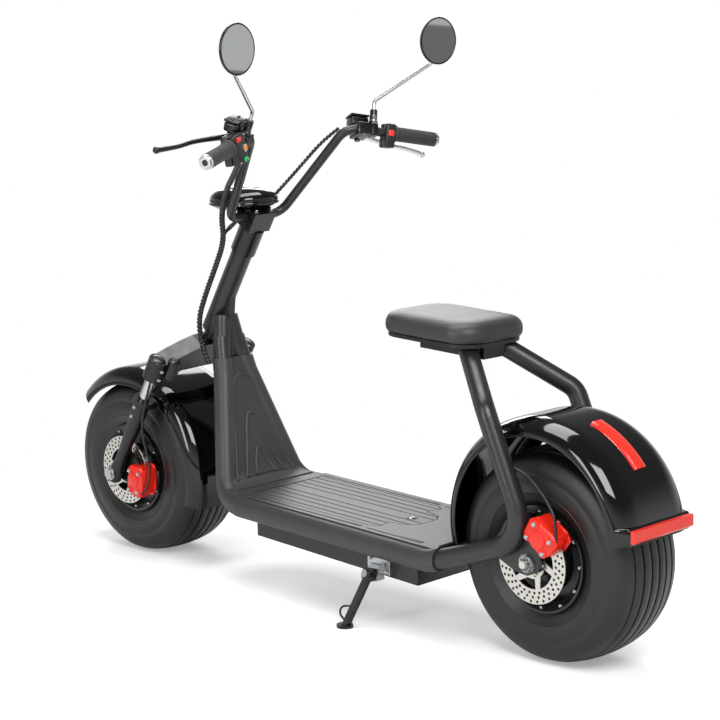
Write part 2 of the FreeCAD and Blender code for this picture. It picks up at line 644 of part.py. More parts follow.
def on_bar(s, u, f, turn=0.0):
    # along the bar, up, forwards; turn lifts the front round the bar
    c = math.cos(math.radians(turn))
    k = math.sin(math.radians(turn))
    return corner + end_dir * (s + CONTROLS_S) + upn * (u * c + f * k) + fwd * (f * c - u * k)


def bar_block(s0, s1, u0, u1, f0, f1, turn=0.0):
    pts = [on_bar(s0, u0, f0, turn), on_bar(s0, u1, f0, turn), on_bar(s0, u1, f1, turn), on_bar(s0, u0, f1, turn)]
    return Part.Face(Part.makePolygon(pts + pts[:1])).extrude(end_dir * (s1 - s0))


def on_bar_path(rows, turn):
    return [tuple(on_bar(s, u, f, turn)) + (r,) for s, u, f, r in rows]


bar_room = rod(on_bar(-30.0, 0, 0), on_bar(140.0, 0, 0), BAR_R)
left_switch = bar_block(58.0, 104.0, -42.0, 26.0, -20.0, 20.0)
right_switch = bar_block(82.0, 107.0, -36.0, 22.0, -20.0, 20.0)
nodes["switch_housings"] = Part.makeCompound([left_switch.cut(bar_room), mirror(right_switch.cut(bar_room))])

# Brake lever: distance along the bar, up, forwards, bend radius
LEVER = [(30.0, 0.0, 34.0, 0.0), (84.0, 0.0, 61.0, 60.0), (130.0, 0.0, 80.0, 60.0),
         (190.0, 0.0, 87.0, 60.0), (243.0, 0.0, 111.0, 0.0)]
# Mirror stem from its nut to the mirror's back: the two lower points on the bar, the others in space
MIRROR_C = V(643.0, 322.0, 1293.0)


def controls(turn, post_s):
    clamp_body = bar_block(8.0, 46.0, -15.0, 15.0, -16.0, 38.0, turn)
    cup = bar_block(4.0, 50.0, 15.0, 44.0, 10.0, 46.0, turn)
    cup = cup.makeFillet(9.0, [e for e in cup.Edges if abs(e.Length - 29.0) < 0.1])
    post_block = bar_block(post_s - 9.0, post_s + 9.0, -15.0, 15.0, -15.0, 12.0, turn)
    lever = pipe(on_bar_path(LEVER, turn), LEVER_R)
    ball = Part.makeSphere(8.0, on_bar(*LEVER[-1][:3], turn))
    post_low = on_bar(post_s, 15.0, -3.0, turn)
    post_top = on_bar(post_s, 48.0, -8.0, turn)
    rows = [tuple(post_low) + (0.0,), tuple(on_bar(post_s, 72.0, -11.0, turn)) + (16.0,),
            (661.0, 316.0, 1240.0, 10.0), (659.2, 322.0, 1268.0, 0.0)]
    stem = pipe(rows, 4.5).fuse(rod(post_low, post_top, 8.5))
    master = clamp_body.fuse([cup, lever, ball, post_block]).cut([nodes["handlebar"], stem])
    return sorted(master.Solids, key=lambda s: -s.Volume)[0], stem


left_master, left_stem = controls(TURN_LEFT, 30.0)
right_master, right_stem = controls(TURN_RIGHT, 54.0)
nodes["brake_levers"] = Part.makeCompound([left_master, mirror(right_master)])
nodes["mirror_stems"] = Part.makeCompound([left_stem, mirror(right_stem)])

# Mirrors: head, glass
face_dir = V(-1.0, -0.12, -0.05)
face_dir.normalize()
head_m = Part.makeCylinder(56.0, 14.0, MIRROR_C - face_dir * 10.0, face_dir)
recess = Part.makeCylinder(52.5, 6.0, MIRROR_C + face_dir * 1.5, face_dir)
head_m = head_m.cut([recess, left_stem])
glass = Part.makeCylinder(52.2, 2.0, MIRROR_C + face_dir * 1.5, face_dir)
nodes["mirror_heads"] = both(sorted(head_m.Solids, key=lambda s: -s.Volume)[0])
nodes["mirror_glass"] = both(glass)

# Headlight: a low round shell over the clamp with a lens at the front
LAMP = V(1003.0, 0, 932.0)
lamp_pts = [(0.0, -24.0), (52.0, -22.0), (80.0, -10.0), (84.0, 2.0), (80.0, 14.0), (58.0, 26.0),
            (28.0, 33.0), (0.0, 35.0)]
shell = upright_turn(lamp_pts, LAMP, V(0, 0, 1), V(1, 0, 0))
lens_room = box(LAMP.x + 60.0, LAMP.x + 100.0, -52.0, 52.0, LAMP.z - 12.0, LAMP.z + 12.0)
lens = shell.common(lens_room)
shell = shell.cut(box(LAMP.x + 59.7, LAMP.x + 100.0, -52.3, 52.3, LAMP.z - 12.3, LAMP.z + 12.3))
lamp_foot = rod((LAMP.x - 10.0, 0, LAMP.z - 30.0), (LAMP.x - 10.0, 0, LAMP.z - 10.0), 14.0)
shell = shell.fuse(lamp_foot).cut(clamp)
nodes["headlight_shell"] = sorted(shell.Solids, key=lambda s: -s.Volume)[0]
nodes["headlight_lens"] = lens

# Hoses and the cable loom: x, y, z of each corner of the route
REAR_HOSE = [
    (44.0, 136.0, 428.0), (0.0, 135.0, 421.0), (-40.0, 135.0, 390.0),
    (-72.0, 140.0, 357.0), (-88.0, 144.0, 335.0), (-90.0, 146.0, 290.0),
]
FRONT_HOSE = [
    (1206.0, 160.0, 488.0), (1227.0, 165.0, 430.0), (1251.0, 161.0, 377.0), (1257.0, 153.0, 326.0),
    (1249.0, 150.0, 289.0), (1242.0, 150.0, 251.0), (1254.0, 149.0, 210.0), (1284.0, 147.0, 184.0),
]
LOOM = [
    (748.0, 236.0, 1046.0), (826.0, 184.0, 1012.0), (931.0, 119.0, 968.0), (992.0, 86.0, 902.0),
    (1015.0, 60.0, 838.0), (1062.0, 50.0, 773.0), (1117.0, 50.0, 682.0), (1139.0, 50.0, 630.0),
    (1136.0, 47.0, 567.0), (1115.0, 44.0, 523.0),
]
HOSE_R = 3.0
LOOM_R = 7.0


def hose(points, r):
    # each bend as large as its two runs allow
    places = [V(*p) for p in points]
    path = [points[0] + (0.0,)]
    for before, here, after in zip(places, places[1:], places[2:]):
        turn = (here - before).getAngle(after - here)
        run = min((here - before).Length, (after - here).Length)
        path.append(tuple(here) + (0.45 * run / math.tan(turn / 2),))
    path.append(points[-1] + (0.0,))
    return pipe(path, r)


def largest(shape):
    return sorted(shape.Solids, key=lambda s: -s.Volume)[0]


tube_room = pipe(TUBE_PATH, TUBE_R + 0.05)
rear_hose = hose(REAR_HOSE, HOSE_R).cut([tube_room, nodes["rear_caliper"]])
nodes["rear_brake_hose"] = largest(rear_hose)
front_hose = hose(FRONT_HOSE, HOSE_R).cut([nodes["front_caliper"], nodes["fork_crown"]])
nodes["front_brake_hose"] = largest(front_hose)
loom = hose(LOOM, LOOM_R)
nodes["cable_loom"] = largest(loom.cut([nodes["switch_housings"], bar_room]))

# Side stand: a plate on the battery box, a lug and bolt, and the leg down to the floor
foot_z = (floor_z + STAND_FOOT[1] * math.sin(lean_rad)) / math.cos(lean_rad)
foot = V(STAND_FOOT[0], STAND_FOOT[1], foot_z)
pivot = V(*STAND_PIVOT)
leg_dir = foot - pivot
leg_dir.normalize()
fold_dir = V(*STAND_FOLD)
fold_dir.normalize()
stand_axis = leg_dir.cross(fold_dir)
stand_axis.normalize()
KNUCKLE = 10.5
BOLT_R = 6.0
stand = rod(pivot, foot, 10.0)
foot_pad = Part.makeCylinder(19.0, 7.0, foot, V(0, math.sin(-lean_rad), math.cos(lean_rad)))
knuckle = Part.makeCylinder(15.0, 2 * KNUCKLE, pivot - stand_axis * KNUCKLE, stand_axis)
stand = stand.fuse([foot_pad, knuckle])
stand = stand.cut(Part.makeCylinder(BOLT_R + 0.05, 60.0, pivot - stand_axis * 30.0, stand_axis))
below = Part.makeBox(400, 400, 60, V(-200, -200, -60))
below.rotate(V(0, 0, 0), V(1, 0, 0), LEAN)
below.translate(foot)
stand = stand.cut(below)
nodes["stand_leg"] = sorted(stand.Solids, key=lambda s: -s.Volume)[0]
bracket_plate = box(404.0, 474.0, BOX_HALF, BOX_HALF + 8.0, 126.0, 166.0)
bracket_lug = box(430.0, 462.0, BOX_HALF, 146.0, 112.0, 146.0)
stand_bracket = bracket_plate.fuse(bracket_lug)
outer = Part.makeCylinder(120.0, 120.0, pivot - stand_axis * (KNUCKLE + 0.5), stand_axis)
stand_bracket = stand_bracket.cut(outer)
bolt = Part.makeCylinder(BOLT_R, 2 * KNUCKLE + 8.0, pivot - stand_axis * (KNUCKLE + 4.0), stand_axis)
bolt_head = Part.makeCylinder(9.0, 5.0, pivot + stand_axis * (KNUCKLE + 0.5), stand_axis)
nodes["stand_bracket"] = stand_bracket.fuse([bolt, bolt_head])

STEERED = ["steering_stem", "handlebar", "fork_crown", "fork_stanchions", "fork_lowers", "front_axle",
           "front_fender", "front_caliper", "front_brake_hose", "headlight_shell", "headlight_lens",
           "grips", "switch_housings", "brake_levers", "mirror_stems", "mirror_heads", "mirror_glass",
           "cable_loom", "front_tyre", "front_rim", "front_disc"]

for name, shape in nodes.items():
    done = shape.copy()
    if name in STEERED:
        done.rotate(FRONT, AXIS, STEER)
    done.rotate(V(0, 0, 0), V(1, 0, 0), -LEAN)
    done.translate(V(-ORIGIN_X, -ORIGIN_Y, -floor_z))
    done.exportStep("parts/" + name + ".step")
    b = done.BoundBox
    solids = done.Solids
    print(name, len(solids), done.isValid(), round(done.Volume / 1000.0, 1),
          [round(v) for v in (b.XMin, b.XMax, b.YMin, b.YMax, b.ZMin, b.ZMax)])
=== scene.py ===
import json
import math

import bmesh
import bpy
from mathutils import Matrix, Vector


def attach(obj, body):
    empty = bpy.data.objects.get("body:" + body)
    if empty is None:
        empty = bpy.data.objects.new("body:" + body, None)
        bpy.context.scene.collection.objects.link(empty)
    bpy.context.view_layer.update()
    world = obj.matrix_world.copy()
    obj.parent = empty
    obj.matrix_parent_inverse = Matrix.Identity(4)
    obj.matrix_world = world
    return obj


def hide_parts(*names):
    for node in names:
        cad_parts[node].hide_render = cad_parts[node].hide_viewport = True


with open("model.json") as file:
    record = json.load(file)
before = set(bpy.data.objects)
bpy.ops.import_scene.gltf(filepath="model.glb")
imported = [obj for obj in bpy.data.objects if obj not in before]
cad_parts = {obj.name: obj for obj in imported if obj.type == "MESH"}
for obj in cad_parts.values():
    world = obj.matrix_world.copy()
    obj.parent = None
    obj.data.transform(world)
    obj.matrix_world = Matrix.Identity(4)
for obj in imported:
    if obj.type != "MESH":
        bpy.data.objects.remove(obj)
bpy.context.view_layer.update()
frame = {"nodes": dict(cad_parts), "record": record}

bl_info = {
    "name": "Electric Scooter",
    "version": (1, 0, 0),
    "blender": (4, 5, 0),
    "location": "3D View > Sidebar > Scooter",
    "description": "Dresses the packed scooter with its moulded, turned, sewn and painted pieces",
    "category": "Object",
}

NODES = frame["nodes"]

# Layout in millimetres, as in the part's source: X forward, Y to the rider's left, Z up,
# origin on the floor under the rear axle, before the scooter leans and moves to its own origin
WHEELBASE = 1387.0
TYRE_R = 228.5
RAKE = math.radians(32.7)
STEER = math.radians(1.9)
LEAN = math.radians(2.2)
CROWN_FLAT = 14.0
FLOOR_Z = -CROWN_FLAT * math.sin(LEAN + STEER * math.sin(RAKE))
ORIGIN = Vector((683.5, 45.0, FLOOR_Z))

SIN_R = math.sin(RAKE)
COS_R = math.cos(RAKE)
X = Vector((1, 0, 0))
Y = Vector((0, 1, 0))
Z = Vector((0, 0, 1))
REAR = Vector((0, 0, TYRE_R))
FRONT = Vector((WHEELBASE, 0, TYRE_R))
AXIS = Vector((-SIN_R, 0, COS_R))
AHEAD = Vector((COS_R, 0, SIN_R))

MM = Matrix.Scale(0.001, 4)
UPRIGHT = Matrix.Translation(-ORIGIN * 0.001) @ Matrix.Rotation(-LEAN, 4, "X") @ MM
TURN = Matrix.Translation(FRONT) @ Matrix.Rotation(STEER, 4, AXIS) @ Matrix.Translation(-FRONT)
STEERED = UPRIGHT @ TURN

MATERIALS = {}


def linear(hex_colour):
    # sRGB hex to linear red, green, blue, alpha
    channels = [int(hex_colour[i:i + 2], 16) / 255 for i in (1, 3, 5)]
    return [c / 12.92 if c <= 0.04045 else ((c + 0.055) / 1.055) ** 2.4 for c in channels] + [1.0]


def add_node(tree, kind, settings=None, links=None):
    made = tree.nodes.new(kind)
    for key, value in (settings or {}).items():
        if isinstance(key, int) or key in made.inputs:
            made.inputs[key].default_value = value
        else:
            setattr(made, key, value)
    for key, source in (links or {}).items():
        tree.links.new(source, made.inputs[key])
    return made


class ScooterColours(bpy.types.PropertyGroup):
    """Colours of the scooter's painted, moulded and sewn pieces"""
    frame_paint: bpy.props.FloatVectorProperty(
        name="Frame paint", description="Powder coat of the tubes and the neck", subtype="COLOR", size=4,
        min=0.0, max=1.0, default=linear("#1d1e1f"))
    deck_plastic: bpy.props.FloatVectorProperty(
        name="Deck plastic", description="Grained polypropylene of the deck and the leg shield",
        subtype="COLOR", size=4, min=0.0, max=1.0, default=linear("#303132"))
    seat_cover: bpy.props.FloatVectorProperty(
        name="Seat cover", description="Embossed vinyl of the seat", subtype="COLOR", size=4,
        min=0.0, max=1.0, default=linear("#2a2a2c"))
    calipers: bpy.props.FloatVectorProperty(
        name="Calipers", description="Baked enamel of the brake calipers", subtype="COLOR", size=4,
        min=0.0, max=1.0, default=linear("#d8200f"))


class ScooterSizes(bpy.types.PropertyGroup):
    """Sizes of the relief that a user would change"""
    groove_depth: bpy.props.FloatProperty(
        name="Tread depth", description="Depth of the grooves round the tyres", unit="LENGTH",
        min=0.0005, max=0.008, default=0.004)
    groove_width: bpy.props.FloatProperty(
        name="Tread width", description="Width of the grooves round the tyres", unit="LENGTH",
        min=0.002, max=0.01, default=0.0046)
    rib_height: bpy.props.FloatProperty(
        name="Rib height", description="Height of each raised rib of the leg shield", unit="LENGTH",
        min=0.0002, max=0.004, default=0.0012)
    seat_dish: bpy.props.FloatProperty(
        name="Seat dish", description="How far the seat's top dips in the middle", unit="LENGTH",
        min=0.0, max=0.02, default=0.005)
    wrap_pitch: bpy.props.FloatProperty(
        name="Wrap pitch", description="Distance between the turns of the cable wrap", unit="LENGTH",
        min=0.005, max=0.03, default=0.01)


def size_mm(name):
    return getattr(bpy.context.scene.scooter_sizes, name) * 1000.0


# Colour sockets of a Mix node, which share their names with its other sockets
MIX_A = 6
MIX_B = 7
MIX_RESULT = 2


def new_material(name, colour, **shader):
    # a Principled shader with its numbers on its own sockets; the colour is a hex value or a property
    chosen = bpy.context.scene.scooter_colours
    base = linear(colour) if colour.startswith("#") else list(getattr(chosen, colour))
    made = bpy.data.materials.new(name)
    made.use_nodes = True
    tree = made.node_tree
    tree.nodes.clear()
    bsdf = add_node(tree, "ShaderNodeBsdfPrincipled", {"Base Color": base} | shader)
    add_node(tree, "ShaderNodeOutputMaterial", None, {"Surface": bsdf.outputs["BSDF"]})
    MATERIALS[name] = made
    return tree, bsdf


def noise_bump(tree, bsdf, grain_mm, depth_mm, detail=2.0):
    # fine relief with grains of a real size
    coords = add_node(tree, "ShaderNodeTexCoord")
    noise = add_node(tree, "ShaderNodeTexNoise", {"Scale": 1000.0 / grain_mm, "Detail": detail},
                     {"Vector": coords.outputs["Object"]})
    bump = add_node(tree, "ShaderNodeBump", {"Strength": 1.0, "Distance": depth_mm * 0.001},
                    {"Height": noise.outputs["Fac"]})
    tree.links.new(bump.outputs["Normal"], bsdf.inputs["Normal"])
    return coords


def vary(tree, bsdf, socket, coords, patch_mm, low, high):
    # slow change over the surface: of a number from low to high, of the base colour between shares of it
    noise = add_node(tree, "ShaderNodeTexNoise", {"Scale": 1000.0 / patch_mm, "Detail": 3.0},
                     {"Vector": coords.outputs["Object"]})
    if socket == "Base Color":
        base = list(bsdf.inputs[socket].default_value)[:3]
        ends = {MIX_A: [c * low for c in base] + [1.0], MIX_B: [c * high for c in base] + [1.0]}
        blend = add_node(tree, "ShaderNodeMix", {"data_type": "RGBA"} | ends,
                         {"Factor": noise.outputs["Fac"]})
        tree.links.new(blend.outputs[MIX_RESULT], bsdf.inputs[socket])
    else:
        ramp = add_node(tree, "ShaderNodeMapRange", {"From Min": 0.3, "From Max": 0.7, "To Min": low,
                                                     "To Max": high}, {"Value": noise.outputs["Fac"]})
        tree.links.new(ramp.outputs["Result"], bsdf.inputs[socket])


def powder_coat():
    # Powder-coated steel: satin charcoal with a fine orange peel
    tree, bsdf = new_material("powder_coated_steel", "frame_paint", Roughness=0.36, IOR=1.5)
    coords = noise_bump(tree, bsdf, 1.6, 0.05)
    vary(tree, bsdf, "Roughness", coords, 40.0, 0.3, 0.42)


def satin_black():
    # Painted cast aluminium: black, half gloss, very fine grain
    tree, bsdf = new_material("painted_cast_aluminium", "#0b0b0c", Roughness=0.26, IOR=1.5)
    coords = noise_bump(tree, bsdf, 2.2, 0.05)
    vary(tree, bsdf, "Roughness", coords, 30.0, 0.2, 0.34)


def gloss_abs():
    # Injection-moulded ABS, polished tool: deep black with sharp reflections
    tree, bsdf = new_material("gloss_moulded_abs", "#030304", Roughness=0.06, IOR=1.52)
    coords = noise_bump(tree, bsdf, 45.0, 0.08, 1.0)
    vary(tree, bsdf, "Roughness", coords, 60.0, 0.04, 0.1)


def satin_abs():
    # Injection-moulded ABS, sanded tool: black with a soft sheen
    tree, bsdf = new_material("satin_moulded_abs", "#121213", Roughness=0.38, IOR=1.5)
    coords = noise_bump(tree, bsdf, 1.4, 0.04)
    vary(tree, bsdf, "Roughness", coords, 50.0, 0.33, 0.45)


def grained_pp():
    # Polypropylene, grained tool: dark grey with a leather-like grain about 1 mm wide
    tree, bsdf = new_material("grained_moulded_polypropylene", "deck_plastic", Roughness=0.46, IOR=1.49)
    coords = noise_bump(tree, bsdf, 1.3, 0.12, 3.0)
    vary(tree, bsdf, "Base Color", coords, 70.0, 0.82, 1.2)


def battery_case_steel():
    # Folded steel sheet, powder coated matt black
    tree, bsdf = new_material("folded_sheet_steel", "#1d1e1f", Roughness=0.55, IOR=1.5)
    noise_bump(tree, bsdf, 1.1, 0.08)


def tyre_rubber():
    # Vulcanised rubber: near black, dull, with faint bloom
    tree, bsdf = new_material("vulcanised_rubber", "#0d0d0e", Roughness=0.42, IOR=1.5)
    coords = noise_bump(tree, bsdf, 1.8, 0.12, 3.0)
    vary(tree, bsdf, "Base Color", coords, 25.0, 0.8, 1.3)


def grip_rubber():
    # Moulded soft rubber: dark grey, matt, dusty sheen
    tree, bsdf = new_material("moulded_soft_rubber", "#242426", Roughness=0.62, IOR=1.5,
                              **{"Sheen Weight": 0.15})
    noise_bump(tree, bsdf, 0.9, 0.15, 3.0)


def hose_rubber():
    # Extruded rubber hose: black, slightly shiny
    tree, bsdf = new_material("extruded_rubber", "#121213", Roughness=0.35, IOR=1.5)
    noise_bump(tree, bsdf, 2.0, 0.05)


def seat_vinyl():
    # Embossed vinyl over foam: dark grey, wrinkle grain about 2 mm, soft sheen
    tree, bsdf = new_material("embossed_vinyl", "seat_cover", Roughness=0.46, IOR=1.48)
    coords = add_node(tree, "ShaderNodeTexCoord")
    cells = add_node(tree, "ShaderNodeTexVoronoi", {"Scale": 520.0, "feature": "SMOOTH_F1"},
                     {"Vector": coords.outputs["Object"]})
    bump = add_node(tree, "ShaderNodeBump", {"Strength": 0.5, "Distance": 0.0003},
                    {"Height": cells.outputs["Distance"]})
    tree.links.new(bump.outputs["Normal"], bsdf.inputs["Normal"])
    vary(tree, bsdf, "Base Color", coords, 35.0, 0.82, 1.2)


def ground_steel():
    # Stainless steel, ground flat: bright with fine marks
    tree, bsdf = new_material("ground_stainless_steel", "#c9c6c0", Metallic=1.0, Roughness=0.3)
    coords = noise_bump(tree, bsdf, 0.8, 0.03, 3.0)
    vary(tree, bsdf, "Roughness", coords, 8.0, 0.24, 0.4)


def chrome():
    # Chromed steel: mirror bright with the faintest unevenness
    tree, bsdf = new_material("chromed_steel", "#c4c6c8", Metallic=1.0, Roughness=0.1)
    noise_bump(tree, bsdf, 30.0, 0.02)


def polished_aluminium():
    # Polished aluminium: bright, faint lengthwise haze
    tree, bsdf = new_material("polished_aluminium", "#d5d7d9", Metallic=1.0, Roughness=0.16)
    coords = noise_bump(tree, bsdf, 4.0, 0.03)
    vary(tree, bsdf, "Roughness", coords, 15.0, 0.12, 0.22)


def zinc_plate():
    # Zinc-plated steel: silver grey, slightly cloudy
    tree, bsdf = new_material("zinc_plated_steel", "#b4b6b8", Metallic=1.0, Roughness=0.32)
    coords = noise_bump(tree, bsdf, 2.5, 0.04)
    vary(tree, bsdf, "Roughness", coords, 12.0, 0.25, 0.42)


def brass():
    # Turned brass: warm yellow grey, worn bright
    tree, bsdf = new_material("turned_brass", "#b3a271", Metallic=1.0, Roughness=0.28)
    noise_bump(tree, bsdf, 1.2, 0.03)


def red_enamel():
    # Baked enamel on cast iron: bright red with a slight orange peel
    tree, bsdf = new_material("baked_red_enamel", "calipers", Roughness=0.25, IOR=1.5)
    noise_bump(tree, bsdf, 2.4, 0.08)


def red_lens():
    # Moulded acrylic reflector: clear red, with the light and shade of a field of small prism facets 3 mm
    # wide painted into its colour
    tree, bsdf = new_material("moulded_red_acrylic", "#e0201a", Roughness=0.12, IOR=1.49)
    coords = add_node(tree, "ShaderNodeTexCoord")
    painted_prism_shade = add_node(tree, "ShaderNodeTexVoronoi", {"Scale": 330.0, "feature": "F1",
                                                     "distance": "CHEBYCHEV", "Randomness": 0.0},
                      {"Vector": coords.outputs["Object"]})
    # painted shade and highlight of the prism facets: dark red at each facet's middle, bright red towards its
    # edges
    ends = {MIX_A: linear("#b80f10"), MIX_B: linear("#ff4a34")}
    colour = add_node(tree, "ShaderNodeMix", {"data_type": "RGBA"} | ends,
                      {"Factor": painted_prism_shade.outputs["Distance"]})
    tree.links.new(colour.outputs[MIX_RESULT], bsdf.inputs["Base Color"])


def clear_lens():
    # Moulded polycarbonate lens: pale, glossy
    tree, bsdf = new_material("moulded_polycarbonate", "#dfe3e4", Roughness=0.12, IOR=1.58)
    noise_bump(tree, bsdf, 3.0, 0.15)


def mirror_glass():
    # Silvered glass: reflects all
    new_material("silvered_glass", "#a6a8a9", Metallic=1.0, Roughness=0.02)


def wrap_plastic():
    # Spiral polyethylene wrap: black bands round the cables, their edges catching the light
    tree, bsdf = new_material("spiral_polyethylene_wrap", "#1a1a1b", Roughness=0.4, IOR=1.5)
    noise_bump(tree, bsdf, 1.5, 0.05)


def button_plastics():
    # Moulded nylon buttons: plain bright colours
    for name, colour in (("red_nylon", "#e2311f"), ("orange_nylon", "#f08a1c"), ("green_nylon", "#25b04a"),
                         ("white_enamel", "#e8e6e2")):
        tree, bsdf = new_material(name, colour, Roughness=0.35, IOR=1.53)
        noise_bump(tree, bsdf, 1.5, 0.05)


def make_materials():
    for make in (powder_coat, satin_black, gloss_abs, satin_abs, grained_pp, battery_case_steel, tyre_rubber,
                 grip_rubber, hose_rubber, seat_vinyl, ground_steel, chrome, zinc_plate, brass, red_enamel,
                 red_lens, clear_lens, mirror_glass, wrap_plastic, button_plastics, polished_aluminium):
        make()


# Finish of each CAD node that stays as it is: record's slot to material
SLOT_FINISH = {
    "frame_paint": "powder_coated_steel", "gloss_black": "gloss_moulded_abs",
    "grey_plastic": "grained_moulded_polypropylene", "black_metal": "painted_cast_aluminium",
    "seat_vinyl": "embossed_vinyl", "tyre_rubber": "vulcanised_rubber", "grip_rubber": "moulded_soft_rubber",
    "bright_steel": "ground_stainless_steel", "chrome": "chromed_steel", "red_paint": "baked_red_enamel",
    "red_lens": "moulded_red_acrylic", "lamp_lens": "moulded_polycarbonate",
    "mirror_silver": "silvered_glass", "zinc_steel": "zinc_plated_steel",
}
# Nodes whose finish isn't their slot's
NODE_FINISH = {"steering_stem": "painted_cast_aluminium", "stand_leg": "painted_cast_aluminium"}


def finish_nodes():
    for part in frame["record"]["subparts"]:
        node = NODES[part["node"]]
        finish = NODE_FINISH.get(part["node"], SLOT_FINISH[part["material_slot"]])
        node.data.materials.clear()
        node.data.materials.append(MATERIALS[finish])


class SCOOTER_OT_finishes(bpy.types.Operator):
    """Give every solid of the frame its real finish"""
    bl_idname = "scooter.finishes"
    bl_label = "Finishes"

    def execute(self, context):
        make_materials()
        finish_nodes()
        return {"FINISHED"}


def new_object(name, data):
    obj = bpy.data.objects.new(name, data)
    bpy.context.scene.collection.objects.link(obj)
    return obj


def mesh_from(name, bm):
    """Mesh of a bmesh, which is freed"""
    mesh = bpy.data.meshes.new(name)
    bm.to_mesh(mesh)
    bm.free()
    return mesh


def enrol(obj, body, replaces=()):
    """Let a piece ride on a body, and hide the nodes that it stands for"""
    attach(obj, body)
    if replaces:
        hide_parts(*replaces)
    return obj


def finish_piece(name, bm, body, finish, placed=UPRIGHT, replaces=(), sharp=32.0, bevel=0.0, levels=0):
    """Turn a bmesh in millimetres into a finished object that rides on a body"""
    bmesh.ops.transform(bm, matrix=placed, verts=bm.verts)
    for face in bm.faces:
        face.smooth = True
    for edge in bm.edges:
        edge.smooth = edge.calc_face_angle(0.0) < math.radians(sharp)
    mesh = mesh_from(name, bm)
    mesh.materials.append(MATERIALS[finish])
    obj = new_object(name, mesh)
    if bevel:
        edge_bevel = obj.modifiers.new("edge", "BEVEL")
        edge_bevel.width = bevel * 0.001
        edge_bevel.segments = 2
        edge_bevel.limit_method = "ANGLE"
        edge_bevel.angle_limit = math.radians(35.0)
        edge_bevel.harden_normals = True
    if levels:
        smooth = obj.modifiers.new("smooth", "SUBSURF")
        smooth.levels = levels
        smooth.render_levels = levels
    return enrol(obj, body, replaces)


def revolve(bm, section, centre, axis=Y, side=Z, steps=96, angle=math.tau, closed=True):
    """Spin a section of (radius, along) pairs about an axis"""
    verts = [bm.verts.new(centre + side * r + axis * a) for r, a in section]
    pairs = list(zip(verts, verts[1:])) + ([(verts[-1], verts[0])] if closed else [])
    edges = [bm.edges.new(pair) for pair in pairs]
    full = angle >= math.tau
    bmesh.ops.spin(bm, geom=verts + edges, cent=centre, axis=axis, angle=angle, steps=steps,
                   use_merge=full, use_normal_flip=False, use_duplicate=False)
    bmesh.ops.remove_doubles(bm, verts=bm.verts, dist=0.0005)
    bmesh.ops.recalc_face_normals(bm, faces=bm.faces)


def aimed(place, axis):
    """Matrix that puts the local Z axis along a direction at a place"""
    return Matrix.Translation(Vector(place)) @ Vector(axis).to_track_quat("Z", "Y").to_matrix().to_4x4()


def rod(bm, start, end, radius, radius_end=None, segments=32):
    start = Vector(start)
    end = Vector(end)
    length = (end - start).length
    made = bmesh.ops.create_cone(bm, cap_ends=True, segments=segments, radius1=radius,
                                 radius2=radius if radius_end is None else radius_end, depth=length,
                                 matrix=aimed((start + end) / 2, end - start))
    return made["verts"]


def block(bm, low, high, at=Matrix.Identity(4)):
    """Box between two corners, put at a matrix"""
    low = Vector(low)
    high = Vector(high)
    size = Matrix.Diagonal((high - low).to_4d())
    made = bmesh.ops.create_cube(bm, size=1.0, matrix=at @ Matrix.Translation((low + high) / 2) @ size)
    return made["verts"]


def soften(bm, verts, offset, segments=2):
    """Round the edges among some vertices"""
    chosen = set(verts)
    edges = [e for e in bm.edges if e.verts[0] in chosen and e.verts[1] in chosen
             and e.calc_face_angle(0.0) > math.radians(25.0)]
    bmesh.ops.bevel(bm, geom=edges, offset=offset, segments=segments, profile=0.5, affect="EDGES",
                    offset_type="OFFSET", material=-1, clamp_overlap=True)


def bolt(bm, place, axis, radius, height, kind="cap"):
    """Cap screw with a socket, hexagon head on a washer, or domed head"""
    place = Vector(place)
    axis = Vector(axis).normalized()
    if kind == "hex":
        rod(bm, place, place + axis * height * 0.25, radius * 1.35, segments=24)
        rod(bm, place + axis * height * 0.25, place + axis * height, radius, segments=6)
        return
    if kind == "dome":
        bmesh.ops.create_uvsphere(bm, u_segments=16, v_segments=8, radius=radius,
                                  matrix=aimed(place, axis) @ Matrix.Diagonal((1, 1, height / radius, 1)))
        return
    verts = rod(bm, place, place + axis * height, radius, segments=20)
    chosen = set(verts)
    top = max((f for f in bm.faces if all(v in chosen for v in f.verts)),
              key=lambda f: (f.calc_center_median() - place).dot(axis))
    bmesh.ops.bevel(bm, geom=list(top.edges), offset=radius * 0.14, segments=2, profile=0.5,
                    affect="EDGES", offset_type="OFFSET", material=-1)
    top = max((f for f in bm.faces if f.is_valid and len(f.verts) > 8),
              key=lambda f: (f.calc_center_median() - place).dot(axis))
    bmesh.ops.inset_region(bm, faces=[top], thickness=radius * 0.36)
    bmesh.ops.translate(bm, verts=list(top.verts), vec=-axis * height * 0.45)


def smooth_curve(name, points, resolution, radius=0.0, sides=0):
    """Smooth line on its control points, and a round bar along it if it has a radius"""
    curve = bpy.data.curves.new(name, "CURVE")
    curve.dimensions = "3D"
    curve.resolution_u = resolution
    curve.bevel_depth = radius
    curve.bevel_resolution = sides
    curve.use_fill_caps = radius > 0.0
    spline = curve.splines.new("NURBS")
    spline.points.add(len(points) - 1)
    for control, place in zip(spline.points, points):
        control.co = Vector(place).to_4d()
    spline.order_u = 3
    spline.use_endpoint_u = True
    return curve


def curve_mesh(curve):
    """Mesh of a curve, which is removed"""
    holder = bpy.data.objects.new("curve", curve)
    mesh = bpy.data.meshes.new_from_object(holder)
    bpy.data.objects.remove(holder)
    bpy.data.curves.remove(curve)
    return mesh


def bent(points, radius, resolution=10, shares=()):
    """Round bar along a smooth line, as a bmesh; shares thicken it at its points"""
    curve = smooth_curve("bar", points, resolution, radius, 4)
    for control, share in zip(curve.splines[0].points, shares):
        control.radius = share
    mesh = curve_mesh(curve)
    bm = bmesh.new()
    bm.from_mesh(mesh)
    bpy.data.meshes.remove(mesh)
    bmesh.ops.remove_doubles(bm, verts=bm.verts, dist=0.0005)
    bmesh.ops.recalc_face_normals(bm, faces=bm.faces)
    return bm


